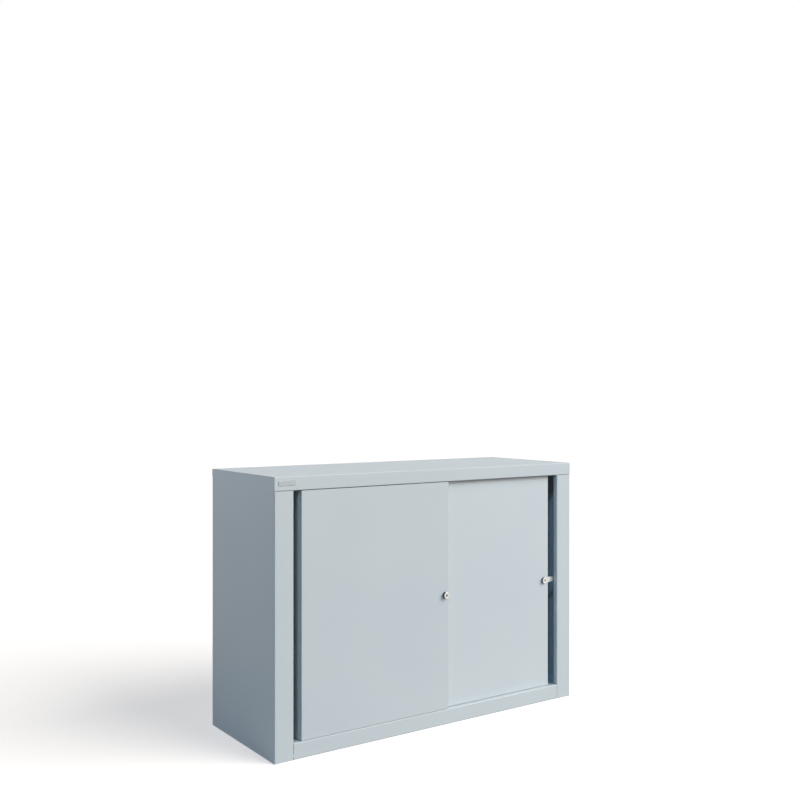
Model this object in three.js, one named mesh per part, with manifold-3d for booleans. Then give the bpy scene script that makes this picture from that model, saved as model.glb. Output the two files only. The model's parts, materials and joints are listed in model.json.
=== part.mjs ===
// Low sliding door cabinet in folded sheet steel. Millimetres, +Z up, +X to the right, front facing -Y.
// The origin is on the floor, at the centre of the cabinet's footprint.
// Sizes with "Depth" in their name run back from a front face, those with "Inset" run in from an outer side.
import * as THREE from 'three';
import { mergeVertices } from 'three/addons/utils/BufferGeometryUtils.js';
import Module from 'manifold-3d';

const wasm = await Module();
wasm.setup();

// Cabinet
const cabinetWidth = 1008;
const cabinetHeight = 711;
const cabinetDepth = 370;
const sheet = 1;
const bendRadius = 1.2;
const seatGap = 0.3;
const cutOverrun = 3;
const floorLift = 0.8;

// Side panels: outer skin, front stile with its return, and back flange, folded from one sheet
const stileWidth = 53.4;
const stileReturnDepth = 14.3;
const sideBackFlange = 20;

// Top panel with its fascia
const fasciaHeight = 35.8;
const fasciaLip = 5;
const topBackFold = 20;

// Bottom rail, floor panel and the channels under the floor
const railHeight = 42.5;
const railLedgeDepth = 27;
const railLip = 12;
const railBackFold = 15;
const floorFold = 20;
const baseChannelInset = 22;
const baseChannelWidth = 44;
const baseChannelFlange = 12;
const baseChannelClearance = 4.2;
const glideRadius = 13;
const glideStemRadius = 4;
const glideBarb = 1.2;
const glideBarbHeight = 5;
const glideEndDistance = 45;

// Inner side liners with slots for the shelf clips: each one comes up to the back of the door that covers it
const linerInset = 76;
const linerFlange = 14;
const linerDoorGap = 1;
const slotPitch = 50;
const slotLength = 20;
const slotHeight = 2.1;
const firstSlotHeight = 62;
const slotRowEdge = 40;

// Shelf and its clips
const shelfSlotNumber = 6;
const shelfFrontSetback = 26;
const shelfBackGap = 6;
const shelfFold = 22;
const shelfLip = 10;
const clipSheet = 1.5;
const clipReach = 16;
const clipHookHeight = 8;

// Doors
const doorOverlap = 79.2;
const doorDepth = 11;
const doorReturn = 6;
const doorBendRadius = 0.8;
const doorTopGap = 1.4;
const doorBottomGap = 1.2;
const doorJambGap = 23.2;
const frontDoorSetback = 1.5;
const rearDoorSetback = 14;
const doorTopFlangeDepth = 9.2;
const doorTopFold = 25;
const stiffenerWidth = 36;
const stiffenerFlange = 14;
const stiffenerDepth = 8;
const doorChannelHeight = 13;
const doorChannelDepth = 8.4;

// Running gear: hangers and rollers above the doors, the top track with its stops, guides below
const rollerRadius = 11;
const rollerWidth = 4.4;
const rollerSideGap = 0.3;
const axleRadius = 2.5;
const runningClearance = 0.1;
const axleHeadRadius = 4;
const axleHeadThickness = 0.9;
const hangerSheet = 1.5;
const hangerWidth = 40;
const hangerAboveAxle = 8;
const hangerEndDistance = 50;
const trackWall = 1;
const trackWebDepth = 1.5;
const trackLipHeight = 2;
const trackHeadroom = 2;
const trackEndInset = 100;
const trackBackDepth = 26.5;
const stopLength = 8;
const stopHeight = 10;
const guideLength = 40;
const guideSideGap = 0.5;
const guideTopGap = 1.5;
const guideScrewRadius = 1.75;
const guideScrewLength = 9;
const screwHeadRadius = 3.5;
const screwHeadHeight = 2.2;

// Locks
const lockHeight = 360;
const keyholeWidth = 2.4;
const keyholeHeight = 6.8;
const keyholeDepth = 3.5;
const plugClearance = 0.2;

// Front lock: a plunger that is pushed in until its nose enters the rear door
const frontLockEdge = 12.8;
const plungerRadius = 8.5;
const plungerReach = 9;
const plungerShoulderDepth = 2;
const plungerPocketDepth = 5;
const plungerWall = 1;
const plungerTravel = 6;
const noseRadius = 4;
const noseTipDepth = 11;
const frontPlugRadius = 4.4;
const frontPlugLength = 5;
const frontPlugRecess = 0.2;
const housingWall = 1.8;
const housingEndWall = 1.2;
const housingEndGap = 0.5;
const springWireRadius = 0.4;
const springTurns = 5;
const strikerClearance = 2.5;

// Rear lock: a key cylinder that turns a hooked cam behind the right stile
const rearLockEdge = 18.4;
const cylinderRadius = 9;
const cylinderReach = 7;
const neckRadius = 7;
const neckEndDepth = 1.95;
const neckGroove = 0.6;
const rearPlugRadius = 5;
const rearPlugRecess = 0.25;
const driveSize = 6;
const camSheet = 2;
const camFrontDepth = 2.2;
const camHubRadius = 9.8;
const camTipHalfHeight = 5;
const camLength = 60;
const camToothWidth = 8;
const camToothDrop = 10;
const camSlotMargin = 0.5;
const camEngagedAngle = 12;
const camScrewRadius = 2;
const camScrewHeadRadius = 4;
const camScrewHeadHeight = 2;
const camScrewLength = 5;
const lockClipSheet = 0.6;
const lockClipRadius = 11;
const keeperSheet = 1.5;
const keeperLeg = 14;
const keeperDrop = 20;
const keeperInset = 1;
const keeperWidth = 22;
const keeperReachDepth = 20.5;
const keeperSlotMargin = 0.8;

// Name plate, left blank
const plateInset = 11;
const plateWidth = 48;
const plateHeight = 12;
const plateThickness = 0.8;
const plateRise = 13.2;
const plateCorner = 2;

// Travel of each door: until the rear lock's cylinder would meet the front door's right edge
const doorEndClearance = 2.4;

// Fineness of bends and rounds
const bendSteps = 3;
const roundSteps = 24;
const smallRoundSteps = 16;
const springStepsPerTurn = 8;
const springSides = 5;

// Finishes
function finish(color, roughness, metalness) {
  return new THREE.MeshStandardMaterial({ color, roughness, metalness });
}
const paintedSteel = finish('#c4ccd3', 0.45, 0.1);
const zincPlatedSteel = finish('#b4b8ba', 0.4, 0.85);
const nickelPlate = finish('#d3d6d4', 0.22, 0.95);
const springSteel = finish('#9a9c9e', 0.3, 0.9);
const whiteNylon = finish('#e9e7e0', 0.5, 0);
const blackNylon = finish('#222426', 0.55, 0);
const greyRubber = finish('#4a4d50', 0.85, 0);
const plateMetal = finish('#a9afb3', 0.35, 0.8);

// Levels and planes worked out from the sizes above
const halfWidth = cabinetWidth / 2;
const frontPlane = -cabinetDepth / 2;
const backPlane = cabinetDepth / 2;
const behindSheet = sheet + seatGap;
const fasciaBottom = cabinetHeight - fasciaHeight;
const insideTop = cabinetHeight - behindSheet;
const insideBack = backPlane - 2 * behindSheet;
const linerWallInset = linerInset + sheet;
const linerBack = insideBack - seatGap;
const floorFront = frontPlane + railLedgeDepth + seatGap;
const floorUnderside = railHeight - sheet;
const doorTop = fasciaBottom - doorTopGap;
const doorBottom = railHeight + doorBottomGap;
const frontDoorFace = frontPlane + frontDoorSetback;
const rearDoorFace = frontPlane + rearDoorSetback;
const frontDoorLeft = -halfWidth + stileWidth + doorJambGap;
const doorWidth = (2 * -frontDoorLeft + doorOverlap) / 2;
const rearDoorLeft = -frontDoorLeft - doorWidth;
const linerFronts = {
  left: frontDoorFace + doorDepth + linerDoorGap,
  right: rearDoorFace + doorDepth + linerDoorGap,
};
const doorTravel = 2 * -frontDoorLeft - doorWidth - rearLockEdge - cylinderRadius - doorEndClearance;
const channelInnerWidth = rollerWidth + 2 * rollerSideGap;
const ledgeTop = insideTop - trackWall - trackHeadroom - 2 * rollerRadius;
const axleHeight = ledgeTop + rollerRadius;
const rollerFrontDepth = trackWebDepth + trackWall + rollerSideGap;
const hangerFrontDepth = doorDepth - hangerSheet;

// Solids: every shape is turned into a manifold once, and joined or cut there
function toSolid(geometry) {
  const plain = geometry.clone();
  plain.deleteAttribute('normal');
  plain.deleteAttribute('uv');
  const merged = mergeVertices(plain, 1e-5);
  const mesh = new wasm.Mesh({
    numProp: 3,
    vertProperties: new Float32Array(merged.attributes.position.array),
    triVerts: new Uint32Array(merged.index.array),
  });
  return new wasm.Manifold(mesh);
}

function toGeometry(solid) {
  const mesh = solid.getMesh();
  const geometry = new THREE.BufferGeometry();
  geometry.setAttribute('position', new THREE.BufferAttribute(mesh.vertProperties, 3));
  geometry.setIndex(new THREE.BufferAttribute(mesh.triVerts, 1));
  return geometry;
}

function join(first, ...others) {
  return others.reduce((whole, other) => whole.add(other), first);
}

function cut(first, ...others) {
  return others.reduce((whole, other) => whole.subtract(other), first);
}

function block(x0, x1, y0, y1, z0, z1) {
  const geometry = new THREE.BoxGeometry(Math.abs(x1 - x0), Math.abs(y1 - y0), Math.abs(z1 - z0));
  geometry.translate((x0 + x1) / 2, (y0 + y1) / 2, (z0 + z1) / 2);
  return toSolid(geometry);
}

// Outline of a folded sheet: a path along one face, with the material to its left (+1) or right (-1)
function foldedOutline(path, thickness, radius, side) {
  const points = path.map(([u, v]) => new THREE.Vector2(u, v));
  const faceLine = [];
  const backLine = [];
  const leftOf = (d) => new THREE.Vector2(-d.y, d.x);
  points.forEach((point, index) => {
    const before = index > 0 ? point.clone().sub(points[index - 1]).normalize() : null;
    const after = index < points.length - 1 ? points[index + 1].clone().sub(point).normalize() : null;
    if (!before || !after) {
      faceLine.push(point);
      backLine.push(point.clone().addScaledVector(leftOf(before || after), side * thickness));
      return;
    }
    const turn = Math.atan2(before.cross(after), before.dot(after));
    const bendSide = Math.sign(turn);
    const faceRadius = bendSide === side ? radius + thickness : radius;
    const backRadius = bendSide === side ? radius : radius + thickness;
    const centre = point.clone()
      .addScaledVector(before, -faceRadius * Math.tan(Math.abs(turn) / 2))
      .addScaledVector(leftOf(before), bendSide * faceRadius);
    for (let step = 0; step <= bendSteps; step += 1) {
      const spoke = leftOf(before).multiplyScalar(-bendSide);
      spoke.rotateAround(new THREE.Vector2(), turn * step / bendSteps);
      faceLine.push(centre.clone().addScaledVector(spoke, faceRadius));
      backLine.push(centre.clone().addScaledVector(spoke, backRadius));
    }
  });
  return new THREE.Shape([...faceLine, ...backLine.reverse()]);
}

function extrude(shape, length) {
  return new THREE.ExtrudeGeometry(shape, { depth: length, bevelEnabled: false });
}

// A shape in X and Y, standing from one height to another
function standing(shape, z0, z1) {
  return toSolid(extrude(shape, z1 - z0).translate(0, 0, z0));
}

// A shape in Y and Z, running along X
function alongX(shape, x0, x1) {
  const axes = new THREE.Matrix4().makeBasis(
    new THREE.Vector3(0, 1, 0), new THREE.Vector3(0, 0, 1), new THREE.Vector3(1, 0, 0));
  return toSolid(extrude(shape, x1 - x0).applyMatrix4(axes).translate(x0, 0, 0));
}

// A shape in X and Z, running along Y
function alongY(shape, y0, y1) {
  const axes = new THREE.Matrix4().makeBasis(
    new THREE.Vector3(1, 0, 0), new THREE.Vector3(0, 0, 1), new THREE.Vector3(0, -1, 0));
  return toSolid(extrude(shape, y1 - y0).applyMatrix4(axes).translate(0, y1, 0));
}

function outline(points) {
  return new THREE.Shape(points.map(([u, v]) => new THREE.Vector2(u, v)));
}

// A round turned about an axis along Y: the profile is a list of [radius, depth behind the face]
function turnedAlongY(profile, x, face, z, steps) {
  const points = profile.map(([radius, depth]) => new THREE.Vector2(radius, depth));
  return toSolid(new THREE.LatheGeometry(points, steps).translate(x, face, z));
}

// A round turned about a standing axis: the profile is a list of [radius, height]
function turnedUpright(profile, x, y, steps) {
  const points = profile.map(([radius, height]) => new THREE.Vector2(radius, height));
  const geometry = new THREE.LatheGeometry(points, steps).rotateX(Math.PI / 2).translate(x, y, 0);
  return toSolid(geometry);
}

function fromSide(side, inset) {
  return side * (halfWidth - inset);
}

const cabinet = new THREE.Group();

function place(name, solid, material) {
  const mesh = new THREE.Mesh(toGeometry(solid), material);
  mesh.name = name;
  cabinet.add(mesh);
}

const sides = [['left', -1], ['right', 1]];
const doors = [
  ['front', frontDoorLeft, frontDoorFace],
  ['rear', rearDoorLeft, rearDoorFace],
];

// Carcass
function sidePanel(side) {
  const path = [
    [fromSide(side, stileWidth), frontPlane + stileReturnDepth],
    [fromSide(side, stileWidth), frontPlane],
    [fromSide(side, 0), frontPlane],
    [fromSide(side, 0), backPlane],
    [fromSide(side, sideBackFlange), backPlane],
  ];
  const folded = standing(foldedOutline(path, sheet, bendRadius, side), floorLift, insideTop);
  const stileTop = fasciaBottom - seatGap;
  const behindFascia = block(
    fromSide(side, -cutOverrun), fromSide(side, stileWidth + cutOverrun),
    frontPlane - cutOverrun, frontPlane + behindSheet, stileTop, cabinetHeight + cutOverrun);
  const behindStile = block(
    fromSide(side, behindSheet), fromSide(side, stileWidth + cutOverrun),
    frontPlane, frontPlane + stileReturnDepth + cutOverrun, stileTop, cabinetHeight + cutOverrun);
  const behindBackFold = block(
    fromSide(side, -cutOverrun), fromSide(side, sideBackFlange + cutOverrun),
    backPlane - behindSheet, backPlane + cutOverrun,
    cabinetHeight - topBackFold - seatGap, cabinetHeight + cutOverrun);
  return cut(folded, behindFascia, behindStile, behindBackFold);
}

function topPanel() {
  const path = [
    [frontPlane + fasciaLip, fasciaBottom],
    [frontPlane, fasciaBottom],
    [frontPlane, cabinetHeight],
    [backPlane, cabinetHeight],
    [backPlane, cabinetHeight - topBackFold],
  ];
  const folded = alongX(foldedOutline(path, sheet, bendRadius, -1), -halfWidth, halfWidth);
  const overSkins = sides.map(([, side]) => block(
    fromSide(side, -cutOverrun), fromSide(side, 2 * behindSheet),
    frontPlane + sheet, backPlane - sheet, fasciaBottom - cutOverrun, cabinetHeight - sheet));
  return cut(folded, ...overSkins);
}

function backPanel() {
  return block(
    fromSide(-1, behindSheet), fromSide(1, behindSheet),
    insideBack, insideBack + sheet, floorLift, insideTop);
}

function bottomRail() {
  const path = [
    [frontPlane + railLip, floorLift],
    [frontPlane, floorLift],
    [frontPlane, railHeight],
    [frontPlane + railLedgeDepth, railHeight],
    [frontPlane + railLedgeDepth, railHeight - railBackFold],
  ];
  const end = stileWidth + seatGap;
  const folded = alongX(foldedOutline(path, sheet, bendRadius, -1), fromSide(-1, end), fromSide(1, end));
  const screwHoles = doors.map(([, , face]) => turnedUpright([
    [0, railHeight - sheet - cutOverrun],
    [guideScrewRadius + seatGap, railHeight - sheet - cutOverrun],
    [guideScrewRadius + seatGap, railHeight + cutOverrun],
    [0, railHeight + cutOverrun],
  ], 0, doorChannelCentre(face), smallRoundSteps));
  return cut(folded, ...screwHoles);
}

function floorPanel() {
  const path = [
    [floorFront, railHeight - floorFold],
    [floorFront, railHeight],
    [linerBack, railHeight],
    [linerBack, railHeight - floorFold],
  ];
  const section = foldedOutline(path, sheet, bendRadius, -1);
  return alongX(section, fromSide(-1, behindSheet), fromSide(1, behindSheet));
}

function slotHeights() {
  const heights = [];
  for (let z = firstSlotHeight; z < insideTop - slotPitch; z += slotPitch) heights.push(z);
  return heights;
}

function slotRows() {
  return [['front', floorFront + slotRowEdge], ['back', linerBack - slotRowEdge]];
}

function liner(side, front) {
  const path = [
    [fromSide(side, linerInset + linerFlange), front],
    [fromSide(side, linerInset), front],
    [fromSide(side, linerInset), linerBack],
    [fromSide(side, linerInset + linerFlange), linerBack],
  ];
  const section = foldedOutline(path, sheet, bendRadius, side);
  const folded = standing(section, railHeight + seatGap, insideTop - seatGap);
  const slots = slotRows().flatMap(([, y]) => slotHeights().map((z) => block(
    fromSide(side, linerInset - cutOverrun), fromSide(side, linerWallInset + cutOverrun),
    y - slotLength / 2 - seatGap, y + slotLength / 2 + seatGap, z, z + slotHeight)));
  return cut(folded, ...slots);
}

function clipTop() {
  return slotHeights()[shelfSlotNumber] + (slotHeight + clipSheet) / 2;
}

function shelf() {
  const top = clipTop() + behindSheet;
  const path = [
    [floorFront + shelfFrontSetback + shelfLip, top - shelfFold],
    [floorFront + shelfFrontSetback, top - shelfFold],
    [floorFront + shelfFrontSetback, top],
    [linerBack - shelfBackGap, top],
    [linerBack - shelfBackGap, top - shelfFold],
  ];
  const end = linerWallInset + 2 * seatGap;
  return alongX(foldedOutline(path, sheet, bendRadius, -1), fromSide(-1, end), fromSide(1, end));
}

function shelfClip(side, y) {
  const hookInset = linerInset - seatGap;
  const path = [
    [fromSide(side, hookInset), clipTop() + clipHookHeight],
    [fromSide(side, hookInset), clipTop()],
    [fromSide(side, linerWallInset + clipReach), clipTop()],
  ];
  const folded = foldedOutline(path, clipSheet, seatGap, side);
  return alongY(folded, y - slotLength / 2, y + slotLength / 2);
}

// Base
const baseChannelBottom = baseChannelClearance + floorLift;
const glidePlaces = [
  ['front', floorFront + glideEndDistance],
  ['back', linerBack - glideEndDistance],
];

function baseChannelCentre(side) {
  return fromSide(side, baseChannelInset + baseChannelFlange + baseChannelWidth / 2);
}

function baseChannel(side) {
  const inner = baseChannelInset + baseChannelFlange;
  const top = floorUnderside - behindSheet;
  const path = [
    [fromSide(side, baseChannelInset), top],
    [fromSide(side, inner), top],
    [fromSide(side, inner), baseChannelBottom],
    [fromSide(side, inner + baseChannelWidth), baseChannelBottom],
    [fromSide(side, inner + baseChannelWidth), top],
    [fromSide(side, inner + baseChannelWidth + baseChannelFlange), top],
  ];
  const clearOfFold = behindSheet + bendRadius;
  const folded = alongY(
    foldedOutline(path, sheet, bendRadius, -side), floorFront + clearOfFold, linerBack - clearOfFold);
  const holeRadius = glideStemRadius + seatGap;
  const stemHoles = glidePlaces.map(([, y]) => turnedUpright([
    [0, baseChannelBottom - cutOverrun],
    [holeRadius, baseChannelBottom - cutOverrun],
    [holeRadius, baseChannelBottom + sheet + cutOverrun],
    [0, baseChannelBottom + sheet + cutOverrun],
  ], baseChannelCentre(side), y, smallRoundSteps));
  return cut(folded, ...stemHoles);
}

function glide(side, y) {
  const padTop = baseChannelBottom - seatGap;
  const barbBottom = baseChannelBottom + behindSheet;
  const profile = [
    [0, 0],
    [glideRadius, 0],
    [glideRadius, padTop],
    [glideStemRadius, padTop],
    [glideStemRadius, barbBottom],
    [glideStemRadius + glideBarb, barbBottom],
    [glideStemRadius - glideBarb, barbBottom + glideBarbHeight],
    [0, barbBottom + glideBarbHeight],
  ];
  return turnedUpright(profile, baseChannelCentre(side), y, smallRoundSteps);
}

// Top track: one section with a hooked ledge for each door
function trackWebFront(face) {
  return face + trackWebDepth;
}

function topTrack() {
  const ledgeBottom = ledgeTop - trackWall;
  const flangeBottom = insideTop - seatGap - trackWall;
  const hookAt = (web) => [
    [web, ledgeBottom],
    [web + trackWall + channelInnerWidth + trackWall, ledgeBottom],
    [web + trackWall + channelInnerWidth + trackWall, ledgeTop + trackLipHeight],
    [web + trackWall + channelInnerWidth, ledgeTop + trackLipHeight],
    [web + trackWall + channelInnerWidth, ledgeTop],
    [web + trackWall, ledgeTop],
    [web + trackWall, flangeBottom],
  ];
  const section = [
    [trackWebFront(frontDoorFace), insideTop - seatGap],
    ...hookAt(trackWebFront(frontDoorFace)),
    [trackWebFront(rearDoorFace), flangeBottom],
    ...hookAt(trackWebFront(rearDoorFace)),
    [frontPlane + trackBackDepth, flangeBottom],
    [frontPlane + trackBackDepth, insideTop - seatGap],
  ];
  return alongX(outline(section), fromSide(-1, trackEndInset), fromSide(1, trackEndInset));
}

function trackStop(face, x, side) {
  const front = trackWebFront(face) + trackWall + rollerSideGap;
  return block(
    x, x + side * stopLength, front, front + rollerWidth,
    ledgeTop + seatGap, ledgeTop + seatGap + stopHeight);
}

// Doors
function doorShell(left, face) {
  const right = left + doorWidth;
  const path = [
    [left + doorReturn, face + doorDepth],
    [left, face + doorDepth],
    [left, face],
    [right, face],
    [right, face + doorDepth],
    [right - doorReturn, face + doorDepth],
  ];
  const body = standing(foldedOutline(path, sheet, doorBendRadius, 1), doorBottom, doorTop);
  const flangePath = [
    [face + sheet / 2, doorTop],
    [face + doorTopFlangeDepth, doorTop],
    [face + doorTopFlangeDepth, doorTop - doorTopFold],
  ];
  const flangeEnd = sheet + seatGap;
  const flange = alongX(
    foldedOutline(flangePath, sheet, doorBendRadius, -1), left + flangeEnd, right - flangeEnd);
  return join(body, flange);
}

function roundHole(x, face, z, radius) {
  const profile = [
    [0, -cutOverrun],
    [radius, -cutOverrun],
    [radius, sheet + cutOverrun],
    [0, sheet + cutOverrun],
  ];
  return turnedAlongY(profile, x, face, z, roundSteps);
}

const frontLockX = frontDoorLeft + doorWidth - frontLockEdge;
const rearLockX = rearDoorLeft + doorWidth - rearLockEdge;

function frontDoorPanel() {
  const plungerHole = roundHole(frontLockX, frontDoorFace, lockHeight, plungerRadius + seatGap);
  return cut(doorShell(frontDoorLeft, frontDoorFace), plungerHole);
}

// How far the turned cam reaches above and below the lock where it passes the door's right fold
function camSlotReach() {
  const toFold = rearLockEdge;
  const corner = Math.hypot(camLength, camTipHalfHeight + camToothDrop);
  const angle = THREE.MathUtils.degToRad(camEngagedAngle);
  return {
    above: Math.sqrt(corner * corner - toFold * toFold) + camSlotMargin,
    below: camHubRadius / Math.cos(angle) + toFold * Math.tan(angle) + camSlotMargin,
  };
}

function rearDoorPanel() {
  const strikerHole = roundHole(frontLockX, rearDoorFace, lockHeight, noseRadius + strikerClearance);
  const neckHole = roundHole(rearLockX, rearDoorFace, lockHeight, neckRadius + seatGap);
  const reach = camSlotReach();
  const right = rearDoorLeft + doorWidth;
  const camSlot = block(
    right - sheet - cutOverrun, right + cutOverrun,
    rearDoorFace + camFrontDepth - camSlotMargin, rearDoorFace + camFrontDepth + camSheet + camSlotMargin,
    lockHeight - reach.below, lockHeight + reach.above);
  return cut(doorShell(rearDoorLeft, rearDoorFace), strikerHole, neckHole, camSlot);
}

function doorChannelCentre(face) {
  return face + behindSheet + doorChannelDepth / 2;
}

function doorChannel(left, face) {
  const front = face + behindSheet;
  const path = [
    [front, doorBottom],
    [front, doorBottom + doorChannelHeight],
    [front + doorChannelDepth, doorBottom + doorChannelHeight],
    [front + doorChannelDepth, doorBottom],
  ];
  return alongX(
    foldedOutline(path, sheet, doorBendRadius, -1), left + behindSheet, left + doorWidth - behindSheet);
}

function doorStiffener(left, face) {
  const middle = left + doorWidth / 2;
  const front = face + behindSheet;
  const path = [
    [middle - stiffenerWidth / 2 - stiffenerFlange, front],
    [middle - stiffenerWidth / 2, front],
    [middle - stiffenerWidth / 2, front + stiffenerDepth],
    [middle + stiffenerWidth / 2, front + stiffenerDepth],
    [middle + stiffenerWidth / 2, front],
    [middle + stiffenerWidth / 2 + stiffenerFlange, front],
  ];
  return standing(
    foldedOutline(path, sheet, doorBendRadius, 1),
    doorBottom + doorChannelHeight + seatGap, doorTop - doorTopFold - seatGap);
}

// Hangers, axles and rollers
function hangerCentres(left) {
  return [['left', left + hangerEndDistance], ['right', left + doorWidth - hangerEndDistance]];
}

function hanger(x, face) {
  const plate = block(
    x - hangerWidth / 2, x + hangerWidth / 2,
    face + hangerFrontDepth, face + doorDepth, doorTop - doorTopFold, axleHeight + hangerAboveAxle);
  const radius = axleRadius + seatGap;
  const hole = turnedAlongY([
    [0, hangerFrontDepth - cutOverrun],
    [radius, hangerFrontDepth - cutOverrun],
    [radius, doorDepth + cutOverrun],
    [0, doorDepth + cutOverrun],
  ], x, face, axleHeight, smallRoundSteps);
  return cut(plate, hole);
}

const axleHeadDepth = rollerFrontDepth + rollerSideGap;

function axle(x, face) {
  const profile = [
    [0, axleHeadDepth],
    [axleHeadRadius, axleHeadDepth],
    [axleHeadRadius, axleHeadDepth + axleHeadThickness],
    [axleRadius, axleHeadDepth + axleHeadThickness],
    [axleRadius, doorDepth],
    [0, doorDepth],
  ];
  return turnedAlongY(profile, x, face, axleHeight, smallRoundSteps);
}

function roller(x, face) {
  const bore = axleRadius + runningClearance;
  const recessDepth = axleHeadDepth + axleHeadThickness + rollerSideGap;
  const profile = [
    [axleHeadRadius + rollerSideGap, rollerFrontDepth],
    [rollerRadius, rollerFrontDepth],
    [rollerRadius, rollerFrontDepth + rollerWidth],
    [bore, rollerFrontDepth + rollerWidth],
    [bore, recessDepth],
    [axleHeadRadius + rollerSideGap, recessDepth],
    [axleHeadRadius + rollerSideGap, rollerFrontDepth],
  ];
  return turnedAlongY(profile, x, face, axleHeight, smallRoundSteps);
}

// Bottom guides, each a nylon fin in the channel under its door, held by a screw from below
function doorGuide(face) {
  const centre = doorChannelCentre(face);
  const halfThickness = doorChannelDepth / 2 - sheet - guideSideGap;
  const bottom = railHeight + seatGap;
  const top = doorBottom + doorChannelHeight - sheet - guideTopGap;
  const chamfer = halfThickness / 2;
  const halfLength = guideLength / 2;
  const fin = standing(outline([
    [-halfLength, centre - halfThickness + chamfer],
    [-halfLength + chamfer, centre - halfThickness],
    [halfLength - chamfer, centre - halfThickness],
    [halfLength, centre - halfThickness + chamfer],
    [halfLength, centre + halfThickness - chamfer],
    [halfLength - chamfer, centre + halfThickness],
    [-halfLength + chamfer, centre + halfThickness],
    [-halfLength, centre + halfThickness - chamfer],
  ]), bottom, top);
  const holeTop = bottom + guideScrewLength;
  const hole = turnedUpright([
    [0, bottom - cutOverrun],
    [guideScrewRadius + runningClearance, bottom - cutOverrun],
    [guideScrewRadius + runningClearance, holeTop],
    [0, holeTop],
  ], 0, centre, smallRoundSteps);
  return cut(fin, hole);
}

function guideScrew(face) {
  const headTop = railHeight - sheet - seatGap;
  const tip = headTop + guideScrewLength;
  const profile = [
    [0, headTop - screwHeadHeight],
    [screwHeadRadius, headTop - screwHeadHeight],
    [screwHeadRadius, headTop],
    [guideScrewRadius, headTop],
    [guideScrewRadius, tip],
    [0, tip],
  ];
  return turnedUpright(profile, 0, doorChannelCentre(face), smallRoundSteps);
}

// Locks
function keyhole(x, face, frontDepth) {
  return block(
    x - keyholeWidth / 2, x + keyholeWidth / 2,
    face + frontDepth - cutOverrun, face + frontDepth + keyholeDepth,
    lockHeight - keyholeHeight / 2, lockHeight + keyholeHeight / 2);
}

const plungerPocketRadius = plungerRadius - plungerWall;
const plungerPocketBottom = plungerShoulderDepth - plungerPocketDepth;
const frontPlugFront = -plungerReach + frontPlugRecess;
const frontPlugBack = frontPlugFront + frontPlugLength;

function frontLockPlunger() {
  const plugBore = frontPlugRadius + plugClearance;
  const plugBoreBottom = frontPlugBack + plugClearance;
  const profile = [
    [0, plugBoreBottom],
    [plugBore, plugBoreBottom],
    [plugBore, -plungerReach],
    [plungerRadius, -plungerReach],
    [plungerRadius, plungerShoulderDepth],
    [plungerPocketRadius, plungerShoulderDepth],
    [plungerPocketRadius, plungerPocketBottom],
    [noseRadius, plungerPocketBottom],
    [noseRadius, noseTipDepth],
    [0, noseTipDepth],
  ];
  return turnedAlongY(profile, frontLockX, frontDoorFace, lockHeight, roundSteps);
}

function frontLockPlug() {
  const profile = [
    [0, frontPlugFront],
    [frontPlugRadius, frontPlugFront],
    [frontPlugRadius, frontPlugBack],
    [0, frontPlugBack],
  ];
  const body = turnedAlongY(profile, frontLockX, frontDoorFace, lockHeight, roundSteps);
  return cut(body, keyhole(frontLockX, frontDoorFace, frontPlugFront));
}

// The plunger's shoulder stops just short of the housing's end wall when it is pushed in
const housingEndFront = plungerShoulderDepth + plungerTravel + housingEndGap;
const housingEndDepth = housingEndFront + housingEndWall;

function frontLockHousing() {
  const bore = plungerRadius + plugClearance;
  const noseHole = noseRadius + seatGap;
  const profile = [
    [bore, behindSheet],
    [bore + housingWall, behindSheet],
    [bore + housingWall, housingEndDepth],
    [noseHole, housingEndDepth],
    [noseHole, housingEndFront],
    [bore, housingEndFront],
    [bore, behindSheet],
  ];
  return turnedAlongY(profile, frontLockX, frontDoorFace, lockHeight, roundSteps);
}

class Helix extends THREE.Curve {
  constructor(radius, length, turns) {
    super();
    this.radius = radius;
    this.length = length;
    this.turns = turns;
  }

  getPoint(t) {
    const angle = 2 * Math.PI * this.turns * t;
    return new THREE.Vector3(
      this.radius * Math.cos(angle), this.length * t, this.radius * Math.sin(angle));
  }
}

function frontLockSpring() {
  const start = plungerPocketBottom + seatGap + springWireRadius;
  const end = housingEndFront - seatGap - springWireRadius;
  const meanRadius = (plungerPocketRadius + noseRadius) / 2;
  const corners = Array.from({ length: springSides }, (_, index) => 2 * Math.PI * index / springSides);
  const wire = outline(corners.map((angle) => [
    springWireRadius * Math.cos(angle), springWireRadius * Math.sin(angle)]));
  const geometry = new THREE.ExtrudeGeometry(wire, {
    extrudePath: new Helix(meanRadius, end - start, springTurns),
    steps: springTurns * springStepsPerTurn,
    bevelEnabled: false,
  });
  return toSolid(geometry.translate(frontLockX, frontDoorFace + start, lockHeight));
}

const neckGrooveFront = behindSheet - seatGap / 2;
const neckGrooveBack = neckGrooveFront + lockClipSheet + seatGap / 2;
const rearPlugFront = -cylinderReach + rearPlugRecess;

function rearLockCylinder() {
  const plugBore = rearPlugRadius + plugClearance;
  const profile = [
    [plugBore, -cylinderReach],
    [cylinderRadius, -cylinderReach],
    [cylinderRadius, -seatGap],
    [neckRadius, -seatGap],
    [neckRadius, neckGrooveFront],
    [neckRadius - neckGroove, neckGrooveFront],
    [neckRadius - neckGroove, neckGrooveBack],
    [neckRadius, neckGrooveBack],
    [neckRadius, neckEndDepth],
    [plugBore, neckEndDepth],
    [plugBore, -cylinderReach],
  ];
  return turnedAlongY(profile, rearLockX, rearDoorFace, lockHeight, roundSteps);
}

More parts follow.
